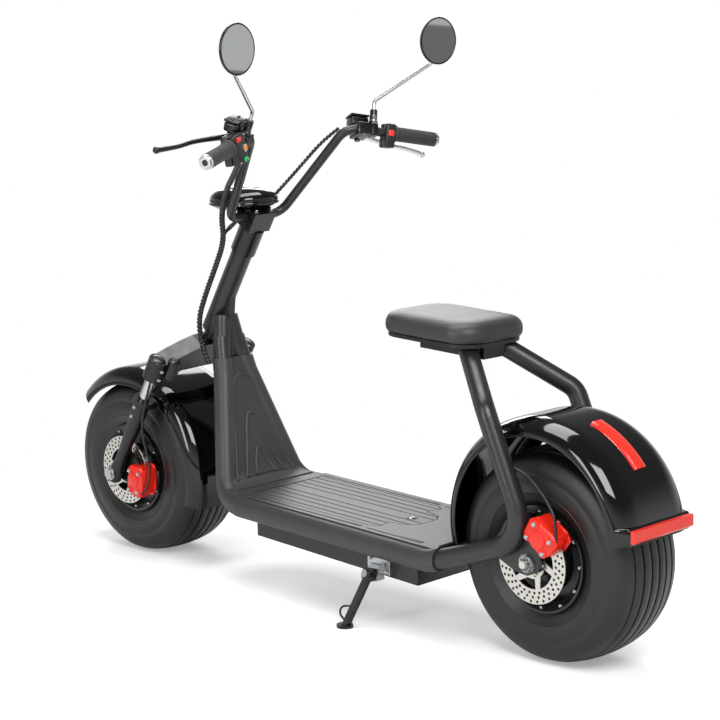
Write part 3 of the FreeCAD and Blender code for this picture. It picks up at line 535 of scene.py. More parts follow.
def joined(*parts):
    """One bmesh from several"""
    whole = bmesh.new()
    for part in parts:
        mesh = mesh_from("part", part)
        whole.from_mesh(mesh)
        bpy.data.meshes.remove(mesh)
    return whole


def evaluated_mesh(obj):
    graph = bpy.context.evaluated_depsgraph_get()
    graph.update()
    return bpy.data.meshes.new_from_object(obj.evaluated_get(graph))


def carved(bm, cutter, operation="DIFFERENCE"):
    """Cut one bmesh with another"""
    work = new_object("work", mesh_from("work", bm))
    tool = new_object("tool", mesh_from("tool", cutter))
    cut = work.modifiers.new("cut", "BOOLEAN")
    cut.operation = operation
    cut.object = tool
    cut.solver = "EXACT"
    result = evaluated_mesh(work)
    whole = bmesh.new()
    whole.from_mesh(result)
    bpy.data.meshes.remove(result)
    for obj in (work, tool):
        mesh = obj.data
        bpy.data.objects.remove(obj)
        bpy.data.meshes.remove(mesh)
    return whole


def loft(bm, rings):
    """Skin over closed rings of points, ends capped"""
    rows = [[bm.verts.new(p) for p in ring] for ring in rings]
    for low, high in zip(rows, rows[1:]):
        for i, vert in enumerate(low):
            after = (i + 1) % len(low)
            bm.faces.new((vert, low[after], high[after], high[i]))
    bm.faces.new(rows[-1])
    bm.faces.new(rows[0][::-1])
    bmesh.ops.recalc_face_normals(bm, faces=bm.faces)


def capped(bm):
    """Close the open ends of a part turn"""
    bmesh.ops.holes_fill(bm, edges=[e for e in bm.edges if e.is_boundary], sides=0)


def round_spot(radius, angle, y=0.0):
    """Point on a circle in the side view, at an angle in radians from straight ahead"""
    return Vector((math.cos(angle) * radius, y, math.sin(angle) * radius))


def between(rows, at):
    """Value at a place, in line between the rows of place and value on both sides of it"""
    for (place, value), (after, end) in zip(rows, rows[1:]):
        if at <= after:
            return value + (end - value) * (at - place) / (after - place)
    return rows[-1][1]


def plate(bm, outline, thickness, at):
    """Flat plate: outline in local X and Y, thickness along local Z, put at a matrix"""
    face = bm.faces.new([bm.verts.new((x, y, 0.0)) for x, y in outline])
    made = bmesh.ops.extrude_face_region(bm, geom=[face])
    top = [v for v in made["geom"] if isinstance(v, bmesh.types.BMVert)]
    bmesh.ops.translate(bm, verts=top, vec=(0, 0, thickness))
    verts = list(face.verts) + top
    bmesh.ops.transform(bm, matrix=at, verts=verts)
    bmesh.ops.recalc_face_normals(bm, faces=bm.faces)
    return verts


def mirrored(bm):
    """Left side copied to the right"""
    geom = list(bm.verts) + list(bm.edges) + list(bm.faces)
    copy = bmesh.ops.duplicate(bm, geom=geom)["geom"]
    verts = [v for v in copy if isinstance(v, bmesh.types.BMVert)]
    faces = [f for f in copy if isinstance(f, bmesh.types.BMFace)]
    bmesh.ops.scale(bm, vec=(1, -1, 1), verts=verts)
    bmesh.ops.reverse_faces(bm, faces=faces)
    return bm


# Tyres: half width and radius over the crown, sidewall points, and the grooves of the tread
CROWN = ((0.0, 228.5), (14.0, 228.5), (40.0, 226.5), (66.0, 222.0), (82.0, 215.0), (91.0, 205.0))
SIDEWALL = ((97.0, 190.0), (98.4, 181.0), (98.0, 180.0), (98.2, 172.0), (99.2, 170.5), (98.4, 150.0),
            (97.0, 141.0), (98.0, 139.5), (96.6, 137.0), (93.5, 128.0), (88.0, 118.0), (86.0, 115.0),
            (84.0, 101.6))
GROOVES = (12.0, 36.0, 60.0)
# Shoulder of the tread: half width, depth under the crown
SHOULDER = ((73.0, 0.0), (82.0, 0.0), (87.0, -1.0), (91.0, 0.0))

# Wheels: end, middle, body and place
WHEELS = (("rear", REAR, "rear_wheel", UPRIGHT), ("front", FRONT, "front_wheel", STEERED))


def tyre_section():
    deep = size_mm("groove_depth")
    wide = size_mm("groove_width")
    half = []
    for groove in GROOVES:
        low = groove - wide / 2
        high = groove + wide / 2
        half += [(low - 0.8, 0.0), (low, 0.6), (low + 0.5, deep), (high - 0.5, deep),
                 (high, 0.6), (high + 0.8, 0.0)]
    half += SHOULDER
    left = [(between(CROWN, y) - drop, y) for y, drop in half] + [(r, y) for y, r in SIDEWALL]
    return [(r, -y) for r, y in reversed(left)] + left


class SCOOTER_OT_tyres(bpy.types.Operator):
    """Spin both tyres with the grooves of their tread"""
    bl_idname = "scooter.tyres"
    bl_label = "Tyres"

    def execute(self, context):
        for end, centre, body, placed in WHEELS:
            bm = bmesh.new()
            revolve(bm, tyre_section(), centre, steps=144)
            finish_piece(end + "_tyre_ribbed", bm, body, "vulcanised_rubber", placed,
                         replaces=(end + "_tyre",), sharp=40.0)
        return {"FINISHED"}


# Brake disc: outer radius, inner and outer face, thickness, rounding of its rim
DISC_R = 89.0
DISC_Y = 116.0
DISC_T = 3.6
DISC_IN = DISC_Y - DISC_T / 2
DISC_OUT = DISC_Y + DISC_T / 2
DISC_EDGE = 0.6
# Its drilled band, middle ring and bore
BAND_R = 57.0
RING_R = 35.0
BORE_R = 13.0
# Rows of holes: radius and first angle
HOLE_ROWS = ((65.0, 0.0), (74.0, 4.0), (83.0, 8.0))
HOLES = 30
HOLE_R = 3.1
# Spokes: how many, and the corners of one as distance from the axle and sideways
SPOKES = 6
SPOKE = ((RING_R - 3.0, -9.0), (RING_R - 3.0, 9.0), (BAND_R + 2.0, 22.0), (BAND_R + 2.0, 9.0))
# Seat between disc and hub, and the circle of its bolts
HUB_SEAT_R = 33.5
HUB_SEAT_Y = 112.0
HUB_BOLTS_R = 27.0


def side_view(turn, y):
    """Matrix that lays a flat outline in the side view, its local Z pointing to the right"""
    return turn @ Matrix.Translation((0, y, 0)) @ Matrix.Rotation(math.pi / 2, 4, "X")


def make_disc(end, centre, body, placed):
    axle = Vector((0, 0, 0))
    band = bmesh.new()
    rim = ((DISC_R - DISC_EDGE, DISC_IN), (DISC_R, DISC_IN + DISC_EDGE), (DISC_R, DISC_OUT - DISC_EDGE),
           (DISC_R - DISC_EDGE, DISC_OUT))
    revolve(band, rim + ((BAND_R, DISC_OUT), (BAND_R, DISC_IN)), axle, steps=120)
    holes = bmesh.new()
    for radius, offset in HOLE_ROWS:
        for i in range(HOLES):
            spot = round_spot(radius, math.radians(360.0 / HOLES * i + offset))
            rod(holes, spot + Y * (DISC_IN - 1), spot + Y * (DISC_OUT + 1), HOLE_R, segments=12)
    band = carved(band, holes)
    middle = bmesh.new()
    revolve(middle, ((RING_R, DISC_IN), (RING_R, DISC_OUT), (BORE_R, DISC_OUT), (BORE_R, DISC_IN)), axle,
            steps=72)
    arms = bmesh.new()
    for i in range(SPOKES):
        turn = Matrix.Rotation(-math.tau / SPOKES * i, 4, "Y")
        plate(arms, SPOKE, DISC_T - 0.2, side_view(turn, DISC_OUT - 0.1))
    seat = bmesh.new()
    revolve(seat, ((HUB_SEAT_R, HUB_SEAT_Y), (HUB_SEAT_R, DISC_IN), (BORE_R, DISC_IN), (BORE_R, HUB_SEAT_Y)),
            axle, steps=48)
    for i in range(SPOKES):
        bolt(seat, round_spot(HUB_BOLTS_R, math.tau / SPOKES * (i + 0.1), DISC_OUT), Y, 4.6, 3.4)
    whole = joined(band, middle, arms, seat)
    bmesh.ops.translate(whole, verts=whole.verts, vec=centre)
    finish_piece(end + "_disc_drilled", whole, body, "ground_stainless_steel", placed,
                 replaces=(end + "_disc",), sharp=30.0)


class SCOOTER_OT_discs(bpy.types.Operator):
    """Make the drilled brake discs with their spokes and bolts"""
    bl_idname = "scooter.discs"
    bl_label = "Brake discs"

    def execute(self, context):
        for wheel in WHEELS:
            make_disc(*wheel)
        return {"FINISHED"}


# Line of the bar's left half: its upper corner and end, then up and forward across it
BAR_CORNER = Vector((794.0, 153.0, 1098.0))
BAR_TIP = Vector((703.0, 379.0, 1053.0))
ALONG = (BAR_TIP - BAR_CORNER).normalized()
BAR_UP = X.cross(ALONG).normalized()
BAR_AHEAD = ALONG.cross(BAR_UP)
BAR_R = 11.1
CONTROLS_S = 16.0
GRIP_S = 124.0
GRIP_LONG = 120.0
GRIP_R = 17.5
GRIP_FLANGE_R = 21.0
GRIP_RIBS = 17
TURN_LEFT = 22.0
TURN_RIGHT = -16.0
POST_LEFT = 30.0
POST_RIGHT = 54.0


def bar_frame(turn=0.0):
    """Local X along the bar, Y up, Z forward, from where the controls start; turn lifts the front"""
    angle = math.radians(turn)
    up = BAR_UP * math.cos(angle) - BAR_AHEAD * math.sin(angle)
    ahead = BAR_AHEAD * math.cos(angle) + BAR_UP * math.sin(angle)
    start = BAR_CORNER + ALONG * CONTROLS_S
    return Matrix.Translation(start) @ Matrix((ALONG, up, ahead)).transposed().to_4x4()


def to_right(bm):
    """Move a left-hand piece to the right side"""
    bmesh.ops.scale(bm, vec=(1, -1, 1), verts=bm.verts)
    bmesh.ops.recalc_face_normals(bm, faces=bm.faces)
    return bm


def soft_block(bm, low, high, offset, at):
    verts = block(bm, low, high, at=at)
    soften(bm, verts, offset, 3)


def make_grips():
    section = [(BAR_R + 0.1, 0.0), (GRIP_FLANGE_R - 1.5, 0.0), (GRIP_FLANGE_R, 1.5), (GRIP_FLANGE_R, 5.5),
               (GRIP_FLANGE_R - 1.5, 7.0), (GRIP_R, 8.0)]
    pitch = (GRIP_LONG - 20.0) / GRIP_RIBS
    for i in range(GRIP_RIBS):
        a = 10.0 + pitch * i
        section += [(GRIP_R, a), (GRIP_R - 1.3, a + 0.7), (GRIP_R - 1.3, a + 1.9), (GRIP_R, a + 2.6)]
    section += [(GRIP_R, GRIP_LONG - 9.0), (GRIP_R - 1.0, GRIP_LONG - 8.0), (BAR_R + 0.1, GRIP_LONG - 8.0)]
    start = BAR_CORNER + ALONG * GRIP_S
    bm = bmesh.new()
    revolve(bm, section, start, ALONG, BAR_UP, steps=64)
    finish_piece("grips_ribbed", mirrored(bm), "steering", "moulded_soft_rubber", STEERED,
                 replaces=("grips",), sharp=50.0)
    caps = bmesh.new()
    end = start + ALONG * (GRIP_LONG - 8.0)
    rod(caps, end, end + ALONG * 3.0, GRIP_R, segments=48)
    rod(caps, end + ALONG * 3.0, end + ALONG * 8.0, GRIP_R - 1.0, GRIP_R - 3.0, segments=6)
    rod(caps, start - ALONG * 4.0, start, GRIP_R, segments=48)
    finish_piece("grip_end_caps", mirrored(caps), "steering", "chromed_steel", STEERED, bevel=0.6)
    plugs = bmesh.new()
    rod(plugs, end + ALONG * 6.0, end + ALONG * 8.6, 8.0, 7.0, segments=32)
    finish_piece("grip_end_plugs", mirrored(plugs), "steering", "satin_moulded_abs", STEERED, bevel=0.5)


class SCOOTER_OT_grips(bpy.types.Operator):
    """Spin the ribbed grips with their bright end caps"""
    bl_idname = "scooter.grips"
    bl_label = "Grips"

    def execute(self, context):
        make_grips()
        return {"FINISHED"}


# Brake lever blade: distance along the bar, up, forwards, thickness share
LEVER = ((26.0, 0.0, 30.0, 1.25), (50.0, 0.0, 44.0, 1.2), (84.0, 0.0, 60.0, 1.0), (130.0, 0.0, 78.0, 0.95),
         (160.0, 0.0, 83.0, 0.9), (190.0, 0.0, 88.0, 0.9), (243.0, 0.0, 111.0, 1.1))
LEVER_R = 6.0


# Brake cylinder, its cup and the cup's lid: low and high corner as along, up and ahead, then rounding
MASTER = (
    ((8.0, -15.0, -16.0), (46.0, 15.0, 38.0), 4.0),
    ((4.0, 15.0, 10.0), (50.0, 37.0, 46.0), 5.0),
    ((3.0, 38.0, 9.0), (51.0, 44.0, 47.0), 2.2),
)
LID_SCREWS = (10.0, 44.0)
# Lever's pivot: along the bar and ahead of it
PIVOT_S = 27.0
PIVOT_F = 32.0
CLAMP_SCREWS = (-10.0, 20.0)
# Nuts of the mirror's post: start and end along it, both radii, sides
POST_NUTS = ((0.0, 9.0, 11.0, 11.0, 6), (10.0, 22.0, 9.8, 9.8, 6), (22.0, 36.0, 9.4, 8.8, 24))


def master(turn, post):
    """Brake cylinder with its cup and lid, and the clamp that carries the mirror"""
    at = bar_frame(turn)
    bm = bmesh.new()
    clamp = ((post - 9.0, -15.0, -15.0), (post + 9.0, 15.0, 12.0), 3.0)
    for low, high, offset in MASTER + (clamp,):
        soft_block(bm, low, high, offset, at)
    for s in LID_SCREWS:
        bolt(bm, at @ Vector((s, 43.0, 28.0)), at.to_3x3() @ Y, 3.4, 2.4)
    rod(bm, at @ Vector((PIVOT_S, -19.0, PIVOT_F)), at @ Vector((PIVOT_S, 15.0, PIVOT_F)), 7.0, segments=24)
    bmesh.ops.recalc_face_normals(bm, faces=bm.faces)
    return bm


def lever_blade(turn):
    at = bar_frame(turn)
    bm = bent([at @ Vector((s, u, f)) for s, u, f, _ in LEVER], LEVER_R, shares=[row[3] for row in LEVER])
    bmesh.ops.create_uvsphere(bm, u_segments=24, v_segments=12, radius=8.0,
                              matrix=Matrix.Translation(at @ Vector(LEVER[-1][:3])))
    return bm


def lever_pins(turn, _post):
    at = bar_frame(turn)
    bm = bmesh.new()
    bolt(bm, at @ Vector((PIVOT_S, 15.0, PIVOT_F)), at.to_3x3() @ Y, 5.0, 3.5)
    for f in CLAMP_SCREWS:
        bolt(bm, at @ Vector((PIVOT_S, -13.0, f)), at.to_3x3() @ -Y, 3.0, 3.0)
    return bm


def post_nuts(turn, post):
    at = bar_frame(turn)
    bm = bmesh.new()
    low = at @ Vector((post, 15.0, -3.0))
    up = (at @ Vector((post, 48.0, -8.0)) - low).normalized()
    for start, end, radius, radius_end, sides in POST_NUTS:
        rod(bm, low + up * start, low + up * end, radius, radius_end, sides)
    return bm


def hose_union(turn, _post):
    at = bar_frame(turn)
    bm = bmesh.new()
    rod(bm, at @ Vector((2.0, 4.0, 22.0)), at @ Vector((-6.0, 4.0, 22.0)), 7.0, segments=6)
    rod(bm, at @ Vector((-6.0, 4.0, 22.0)), at @ Vector((-15.0, 4.0, 21.0)), 4.4, segments=20)
    return bm


def on_both_sides(make):
    """Left and right piece in one bmesh; make takes the turn round the bar and the mirror's post"""
    return joined(make(TURN_LEFT, POST_LEFT), to_right(make(TURN_RIGHT, POST_RIGHT)))


def make_controls():
    finish_piece("brake_masters_cast", on_both_sides(master), "steering", "painted_cast_aluminium", STEERED,
                 replaces=("brake_levers",))
    finish_piece("brake_lever_left_blade", lever_blade(TURN_LEFT), "steering", "painted_cast_aluminium",
                 STEERED, replaces=("brake_levers",))
    finish_piece("brake_lever_right_blade", to_right(lever_blade(TURN_RIGHT)), "steering",
                 "polished_aluminium", STEERED, replaces=("brake_levers",))
    for name, make, finish, bevel in (("lever_pivots", lever_pins, "zinc_plated_steel", 0.5),
                                      ("mirror_nuts", post_nuts, "painted_cast_aluminium", 0.6),
                                      ("brake_hose_unions", hose_union, "turned_brass", 0.5)):
        finish_piece(name, on_both_sides(make), "steering", finish, STEERED, bevel=bevel)


# Switch housings: first and last distance along the bar, lowest, highest
SWITCH_LEFT = (58.0, 104.0, -42.0, 26.0)
SWITCH_RIGHT = (82.0, 107.0, -36.0, 22.0)
SWITCH_DEEP = 20.0


def switch_box(row):
    s0, s1, low, high = row
    bm = bmesh.new()
    at = bar_frame()
    soft_block(bm, (s0, low, -SWITCH_DEEP), (s1, high, -0.4), 4.0, at)
    soft_block(bm, (s0, low, 0.4), (s1, high, SWITCH_DEEP), 4.0, at)
    return bm


def make_switches():
    whole = joined(switch_box(SWITCH_LEFT), to_right(switch_box(SWITCH_RIGHT)))
    finish_piece("switch_housings_moulded", whole, "steering", "satin_moulded_abs", STEERED,
                 replaces=("switch_housings",))
    at = bar_frame()
    back = at.to_3x3() @ -Z
    face = -SWITCH_DEEP + 0.5
    red = bmesh.new()
    soft_block(red, (84.0, 10.0, face - 4.0), (101.0, 21.0, face), 1.8, at)
    rocker = bmesh.new()
    soft_block(rocker, (87.0, -8.0, face - 4.5), (101.0, 6.0, face), 1.8, at)
    finish_piece("switch_buttons_red", joined(red, to_right(rocker)), "steering", "red_nylon", STEERED)
    orange = bmesh.new()
    place = at @ Vector((70.0, -8.0, face))
    rod(orange, place, place + back * 5.0, 6.5, 6.0, segments=32)
    finish_piece("switch_button_orange", orange, "steering", "orange_nylon", STEERED, bevel=0.8)
    green = bmesh.new()
    soft_block(green, (68.0, -38.0, face - 4.0), (84.0, -28.0, face), 1.8, at)
    finish_piece("switch_button_green", green, "steering", "green_nylon", STEERED)
    ring = bmesh.new()
    revolve(ring, ((6.8, 0.0), (9.2, 0.0), (9.2, 2.6), (8.4, 3.4), (6.8, 3.4)), place, back,
            at.to_3x3() @ Y, steps=40)
    for s, u in ((62.0, 20.0), (100.0, -36.0), (62.0, -36.0)):
        bolt(ring, at @ Vector((s, u, face)), back, 2.6, 1.4)
    finish_piece("switch_button_ring", ring, "steering", "chromed_steel", STEERED)


class SCOOTER_OT_controls(bpy.types.Operator):
    """Make the brake cylinders, lever blades, mirror nuts, switches and their buttons"""
    bl_idname = "scooter.controls"
    bl_label = "Bar controls"

    def execute(self, context):
        make_controls()
        make_switches()
        return {"FINISHED"}


# Mirror on the left: centre, the way it faces, and its section as radius and depth
MIRROR_C = Vector((643.0, 322.0, 1293.0))
MIRROR_FACE = Vector((-1.0, -0.12, -0.05)).normalized()
MIRROR_SECTION = ((0.001, -10.0), (30.0, -9.6), (44.0, -8.2), (51.0, -5.6), (55.0, -2.0), (56.0, 1.0),
                  (56.0, 3.2), (55.2, 4.0), (53.6, 4.0), (52.8, 3.2), (52.6, 1.7), (0.001, 1.6))


class SCOOTER_OT_mirrors(bpy.types.Operator):
    """Spin the domed mirror housings"""
    bl_idname = "scooter.mirrors"
    bl_label = "Mirrors"

    def execute(self, context):
        bm = bmesh.new()
        revolve(bm, MIRROR_SECTION, MIRROR_C, MIRROR_FACE, MIRROR_FACE.cross(Y).normalized(), closed=False)
        finish_piece("mirror_housings_domed", mirrored(bm), "steering", "gloss_moulded_abs", STEERED,
                     replaces=("mirror_heads",), sharp=50.0)
        ball = bmesh.new()
        for along, radius in ((-10.0, 9.0), (-14.0, 7.0)):
            rod(ball, MIRROR_C + MIRROR_FACE * (along + 3.0) - Z * 8.0,
                MIRROR_C + MIRROR_FACE * along - Z * 8.0, radius, segments=24)
        finish_piece("mirror_swivels", mirrored(ball), "steering", "satin_moulded_abs", STEERED, bevel=1.0)
        return {"FINISHED"}


# Headlight: middle, then its section as radius and height
LAMP = Vector((1003.0, 0.0, 932.0))
LAMP_SECTION = ((0.001, -24.0), (50.0, -22.5), (66.0, -17.5), (77.0, -12.0), (79.0, -10.0), (82.4, -9.6),
                (83.6, -7.5), (83.6, -3.5), (82.2, -1.6), (83.4, 2.0), (82.0, 8.5), (78.0, 15.0),
                (70.0, 21.0), (58.0, 26.0), (43.0, 29.8), (28.0, 33.0), (12.0, 34.6), (0.001, 35.0))
# Opening of the lens: where it starts ahead of the middle, half width and half height
LENS_IN = 60.0
LENS_HALF = 52.0
LENS_HIGH = 12.0
# Bright cap on top: radius and height
CAP_SECTION = ((46.0, 28.0), (45.4, 29.8), (42.0, 31.4), (30.0, 34.6), (14.0, 36.4), (0.001, 37.0),
               (0.001, 30.0), (40.0, 28.0))
LAMP_SCREWS = (50.0, -50.0, 130.0, -130.0)
# Sideways place of each lead
LEAD_LANES = (0.0, 9.0)


def lamp_turned():
    bm = bmesh.new()
    revolve(bm, LAMP_SECTION, LAMP, Z, X, closed=False)
    return bm


def lens_box(extra):
    bm = bmesh.new()
    block(bm, LAMP + Vector((LENS_IN - extra, -LENS_HALF - extra, -LENS_HIGH - extra)),
          LAMP + Vector((100.0, LENS_HALF + extra, LENS_HIGH + extra)))
    return bm


def lamp_lead(lane):
    """Short lead from the lamp to the stem"""
    return bent(((985.0, 24.0 + lane, 910.0), (966.0, 44.0 + lane, 902.0), (962.0, 62.0 + lane * 0.5, 886.0),
                 (984.0, 66.0, 868.0 + lane), (1010.0, 62.0, 856.0), (1022.0, 58.0, 836.0)), 2.6)


def make_lamp():
    shell = carved(lamp_turned(), lens_box(0.4))
    rod(shell, LAMP + Vector((-10.0, 0.0, -30.0)), LAMP + Vector((-10.0, 0.0, -20.0)), 14.0)
    finish_piece("headlight_shell_turned", shell, "steering", "gloss_moulded_abs", STEERED,
                 replaces=("headlight_shell",), sharp=40.0)
    lens = carved(lamp_turned(), lens_box(0.0), "INTERSECT")
    finish_piece("headlight_lens_moulded", lens, "steering", "moulded_polycarbonate", STEERED,
                 replaces=("headlight_lens",), sharp=40.0)
    cap = bmesh.new()
    revolve(cap, CAP_SECTION, LAMP, Z, X, steps=72)
    finish_piece("headlight_cap", cap, "steering", "chromed_steel", STEERED, sharp=50.0)
    lugs = bmesh.new()
    for angle in LAMP_SCREWS:
        spoke = Vector((math.cos(math.radians(angle)), math.sin(math.radians(angle)), 0.0))
        bolt(lugs, LAMP + spoke * 83.0 - Z * 5.5, spoke, 3.4, 2.6)
    finish_piece("headlight_screws", lugs, "steering", "zinc_plated_steel", STEERED)
    finish_piece("headlight_leads", joined(*[lamp_lead(lane) for lane in LEAD_LANES]), "steering",
                 "extruded_rubber", STEERED)


class SCOOTER_OT_lamp(bpy.types.Operator):
    """Turn the headlight with its lens, bright cap, screws and leads"""
    bl_idname = "scooter.lamp"
    bl_label = "Headlight"

    def execute(self, context):
        make_lamp()
        return {"FINISHED"}


# Seat pad: middle, length, width, foot, corner radius and tilt
SEAT_X = 317.0
SEAT_LONG = 282.0
SEAT_WIDE = 226.0
SEAT_LOW = 651.0
SEAT_CORNER = 70.0
CORNER_LEAST = 22.0
CORNER_STEPS = 12
SEAT_PIVOT = Vector((230.0, 0.0, SEAT_LOW))
SEAT_TILT = math.radians(3.0)
# Rings of the unswollen pad: inset, height over the foot
PAD_RINGS = ((5.0, 8.8), (2.0, 14.0), (0.6, 24.0), (1.6, 34.0), (6.0, 42.5), (14.0, 49.0), (26.0, 53.0),
             (44.0, 55.0), (76.0, 55.6))
# Height over the foot where the dish of the top begins, and that over which it grows to its whole depth
DISH_FROM = 30.0
DISH_OVER = 26.0
# Swelling, in millimetres as the pad is made: voxel, pressure of the cloth, furthest that a point moves,
# frames, and the height over the foot up to which it is held still
PAD_VOXEL = 5.0
PAD_PRESSURE = 0.004
PAD_REACH = 4.0
PAD_FRAMES = 20
PAD_PINNED = 14.0


def pad_ring(inset, height):
    """Points round a rounded rectangle in the seat's plane"""
    half_l = SEAT_LONG / 2 - inset
    half_w = SEAT_WIDE / 2 - inset
    radius = max(SEAT_CORNER - inset, CORNER_LEAST)
    corners = ((half_l - radius, half_w - radius, 0.0), (radius - half_l, half_w - radius, 90.0),
               (radius - half_l, radius - half_w, 180.0), (half_l - radius, radius - half_w, 270.0))
    pivot = Matrix.Translation(SEAT_PIVOT)
    tilt = pivot @ Matrix.Rotation(-SEAT_TILT, 4, "Y") @ Matrix.Translation(-SEAT_PIVOT)
    ring = []
    for x, y, first in corners:
        for i in range(CORNER_STEPS + 1):
            angle = math.radians(first + 90.0 * i / CORNER_STEPS)
            along = x + radius * math.cos(angle)
            bend = (2.0 * along / SEAT_LONG) ** 2 - 0.6
            dish = size_mm("seat_dish") * bend * max(height - DISH_FROM, 0.0) / DISH_OVER
            ring.append(tilt @ Vector((SEAT_X + along, y + radius * math.sin(angle),
                                       SEAT_LOW + height + dish)))
    return ring


def swollen(bm):
    """Foam under its cover: even mesh, blown up softly, travel capped, foot held still"""
    obj = new_object("pad", mesh_from("pad", bm))
    even = obj.modifiers.new("even", "REMESH")
    even.mode = "VOXEL"
    even.voxel_size = PAD_VOXEL
    fine = evaluated_mesh(obj)
    obj.modifiers.clear()
    obj.data = fine
    start = [v.co.copy() for v in fine.vertices]
    held = obj.vertex_groups.new(name="held")
    held.add([i for i, co in enumerate(start) if co.z < SEAT_LOW + PAD_PINNED], 1.0, "REPLACE")
    cloth = obj.modifiers.new("cloth", "CLOTH")
    cloth.settings.use_pressure = True
    cloth.settings.uniform_pressure_force = PAD_PRESSURE
    cloth.settings.effector_weights.gravity = 0.0
    cloth.settings.vertex_group_mass = "held"
    cloth.collision_settings.use_collision = False
    cloth.point_cache.frame_start = 1
    cloth.point_cache.frame_end = PAD_FRAMES
    for moment in range(1, PAD_FRAMES + 1):
        bpy.context.scene.frame_set(moment)
    blown = evaluated_mesh(obj)
    for vert, base in zip(blown.vertices, start):
        move = vert.co - base
        if move.length > PAD_REACH:
            move *= PAD_REACH / move.length
        vert.co = base + move
    obj.modifiers.clear()
    obj.data = blown
    bpy.context.scene.frame_set(1)
    result = bmesh.new()
    result.from_mesh(obj.data)
    bpy.data.objects.remove(obj)
    return result


def make_seat():
    bm = bmesh.new()
    loft(bm, [pad_ring(inset, height) for inset, height in PAD_RINGS])
    pad = swollen(bm)
    bmesh.ops.smooth_vert(pad, verts=pad.verts, factor=0.5, use_axis_x=True, use_axis_y=True, use_axis_z=True)
    piece = finish_piece("seat_pad_sewn", pad, "frame", "embossed_vinyl", replaces=("seat_pad",), levels=1)


class SCOOTER_OT_seat(bpy.types.Operator):
    """Blow up the seat pad under its vinyl"""
    bl_idname = "scooter.seat"
    bl_label = "Seat"

    def execute(self, context):
        make_seat()
        return {"FINISHED"}


# Rear face of the leg shield at its middle: height and x
SHIELD_FACE = ((243.6, 924.0), (248.0, 942.0), (257.0, 958.0), (272.0, 971.0), (292.0, 980.0), (316.0, 987.0),
               (541.0, 1055.0))
# The moulded face over the wraps of the tubes: rows of height, half width; then its depth and side slope
SKIN_ROWS = ((541.0, 36.0), (500.0, 43.0), (420.0, 63.0), (330.0, 88.0), (292.0, 99.0), (262.0, 112.0),
             (248.0, 126.0), (243.6, 134.0))
SKIN_DEEP = 9.0
SKIN_SLOPE = 9.0
# Raised ribs, one inside the other: rows of height, half width
RIBS = (
    ((497.0, 22.0), (470.0, 38.0), (420.0, 51.0), (370.0, 62.0), (330.0, 70.0), (300.0, 78.0), (275.0, 86.0),
     (256.0, 96.0)),
    ((404.0, 12.0), (385.0, 20.0), (350.0, 30.0), (309.0, 42.0), (280.0, 52.0), (258.0, 64.0)),
    ((318.0, 8.0), (300.0, 16.0), (280.0, 24.0), (259.0, 32.0)),
)
RIB_SLOPE = 2.2
# Round ridge along each rib's edge: radius, and how far in from the edge it runs
RIDGE_R = 4.2
RIDGE_IN = 3.0


def shield_point(y, z, out=0.0):
    """Point on the shield's rear face, raised towards the rider"""
    for (z0, x0), (z1, x1) in zip(SHIELD_FACE, SHIELD_FACE[1:]):
        if z <= z1 or z1 == SHIELD_FACE[-1][0]:
            share = (z - z0) / (z1 - z0)
            normal = Vector((-(z1 - z0), 0.0, x1 - x0)).normalized()
            return Vector((x0 + (x1 - x0) * share, y, z)) + normal * out


def raised_panel(bm, rows, low, top, slope):
    """Raised panel with sloping sides that follows the shield's bend"""
    heights = sorted({z for z, _ in rows} | {z for z, _ in SHIELD_FACE if rows[-1][0] < z < rows[0][0]})
    ordered = sorted(rows)
    rings = []
    for z in heights:
        half = between(ordered, z)
        rings.append([shield_point(y, z, out) for y, out in (
            (-half, low), (-half + slope, top), (half - slope, top), (half, low))])
    loft(bm, rings)


class SCOOTER_OT_shield_ribs(bpy.types.Operator):
    """Mould the leg shield's face with its nested ribs and their round ridges"""
    bl_idname = "scooter.shield_ribs"
    bl_label = "Shield ribs"

    def execute(self, context):
        bm = bmesh.new()
        rib = size_mm("rib_height")
        for level, rows in enumerate(RIBS):
            raised_panel(bm, rows, level * rib - 0.3, (level + 1) * rib, RIB_SLOPE)
        finish_piece("leg_shield_ribs", bm, "frame", "grained_moulded_polypropylene", bevel=0.5)
        skin = bmesh.new()
        raised_panel(skin, SKIN_ROWS, -SKIN_DEEP, 0.0, SKIN_SLOPE)
        finish_piece("leg_shield_face", skin, "frame", "grained_moulded_polypropylene", bevel=2.5, sharp=60.0)
        ridges = []
        for level, rows in enumerate(RIBS):
            out = (level + 1) * rib - RIDGE_R * 0.35
            side = [shield_point(half - RIDGE_IN, z, out) for z, half in rows]
            over = [shield_point(-half + RIDGE_IN, z, out) for z, half in rows]
            ridges.append(bent(side[::-1] + over, RIDGE_R, resolution=6))
        finish_piece("leg_shield_ridges", joined(*ridges), "frame", "grained_moulded_polypropylene")
        return {"FINISHED"}


# Top of the deck, as in the part: height at an x, and its slope
DECK_REAR = 232.0
DECK_TOP = 218.0
DECK_SLOPE = 0.033
# Lid: thickness, outline of its left half, and the sheet that it is cut from, as both ends and half width
LID_T = 5.0
LID_LEFT = ((880.0, 112.0), (480.0, 112.0), (460.0, 98.0), (470.0, 62.0), (424.0, 50.0), (407.0, 28.0))
SHEET_ENDS = (395.0, 890.0)
SHEET_HALF = 130.0
LID_GROOVES = (-95.0, -70.0, -45.0, -20.0, 20.0, 45.0, 70.0, 95.0)
LID_GROOVE_HALF = 1.8
LID_GROOVE_SIDE = 0.8
LID_GROOVE_DEEP = 1.6
# Lock: x, radius, and its ring as distance beyond that radius and height
LOCK_AT = 458.0
LOCK_R = 9.0
LOCK_RING = ((0.2, 0.2), (4.0, 0.2), (4.0, 1.4), (3.0, 2.2), (0.2, 2.2))
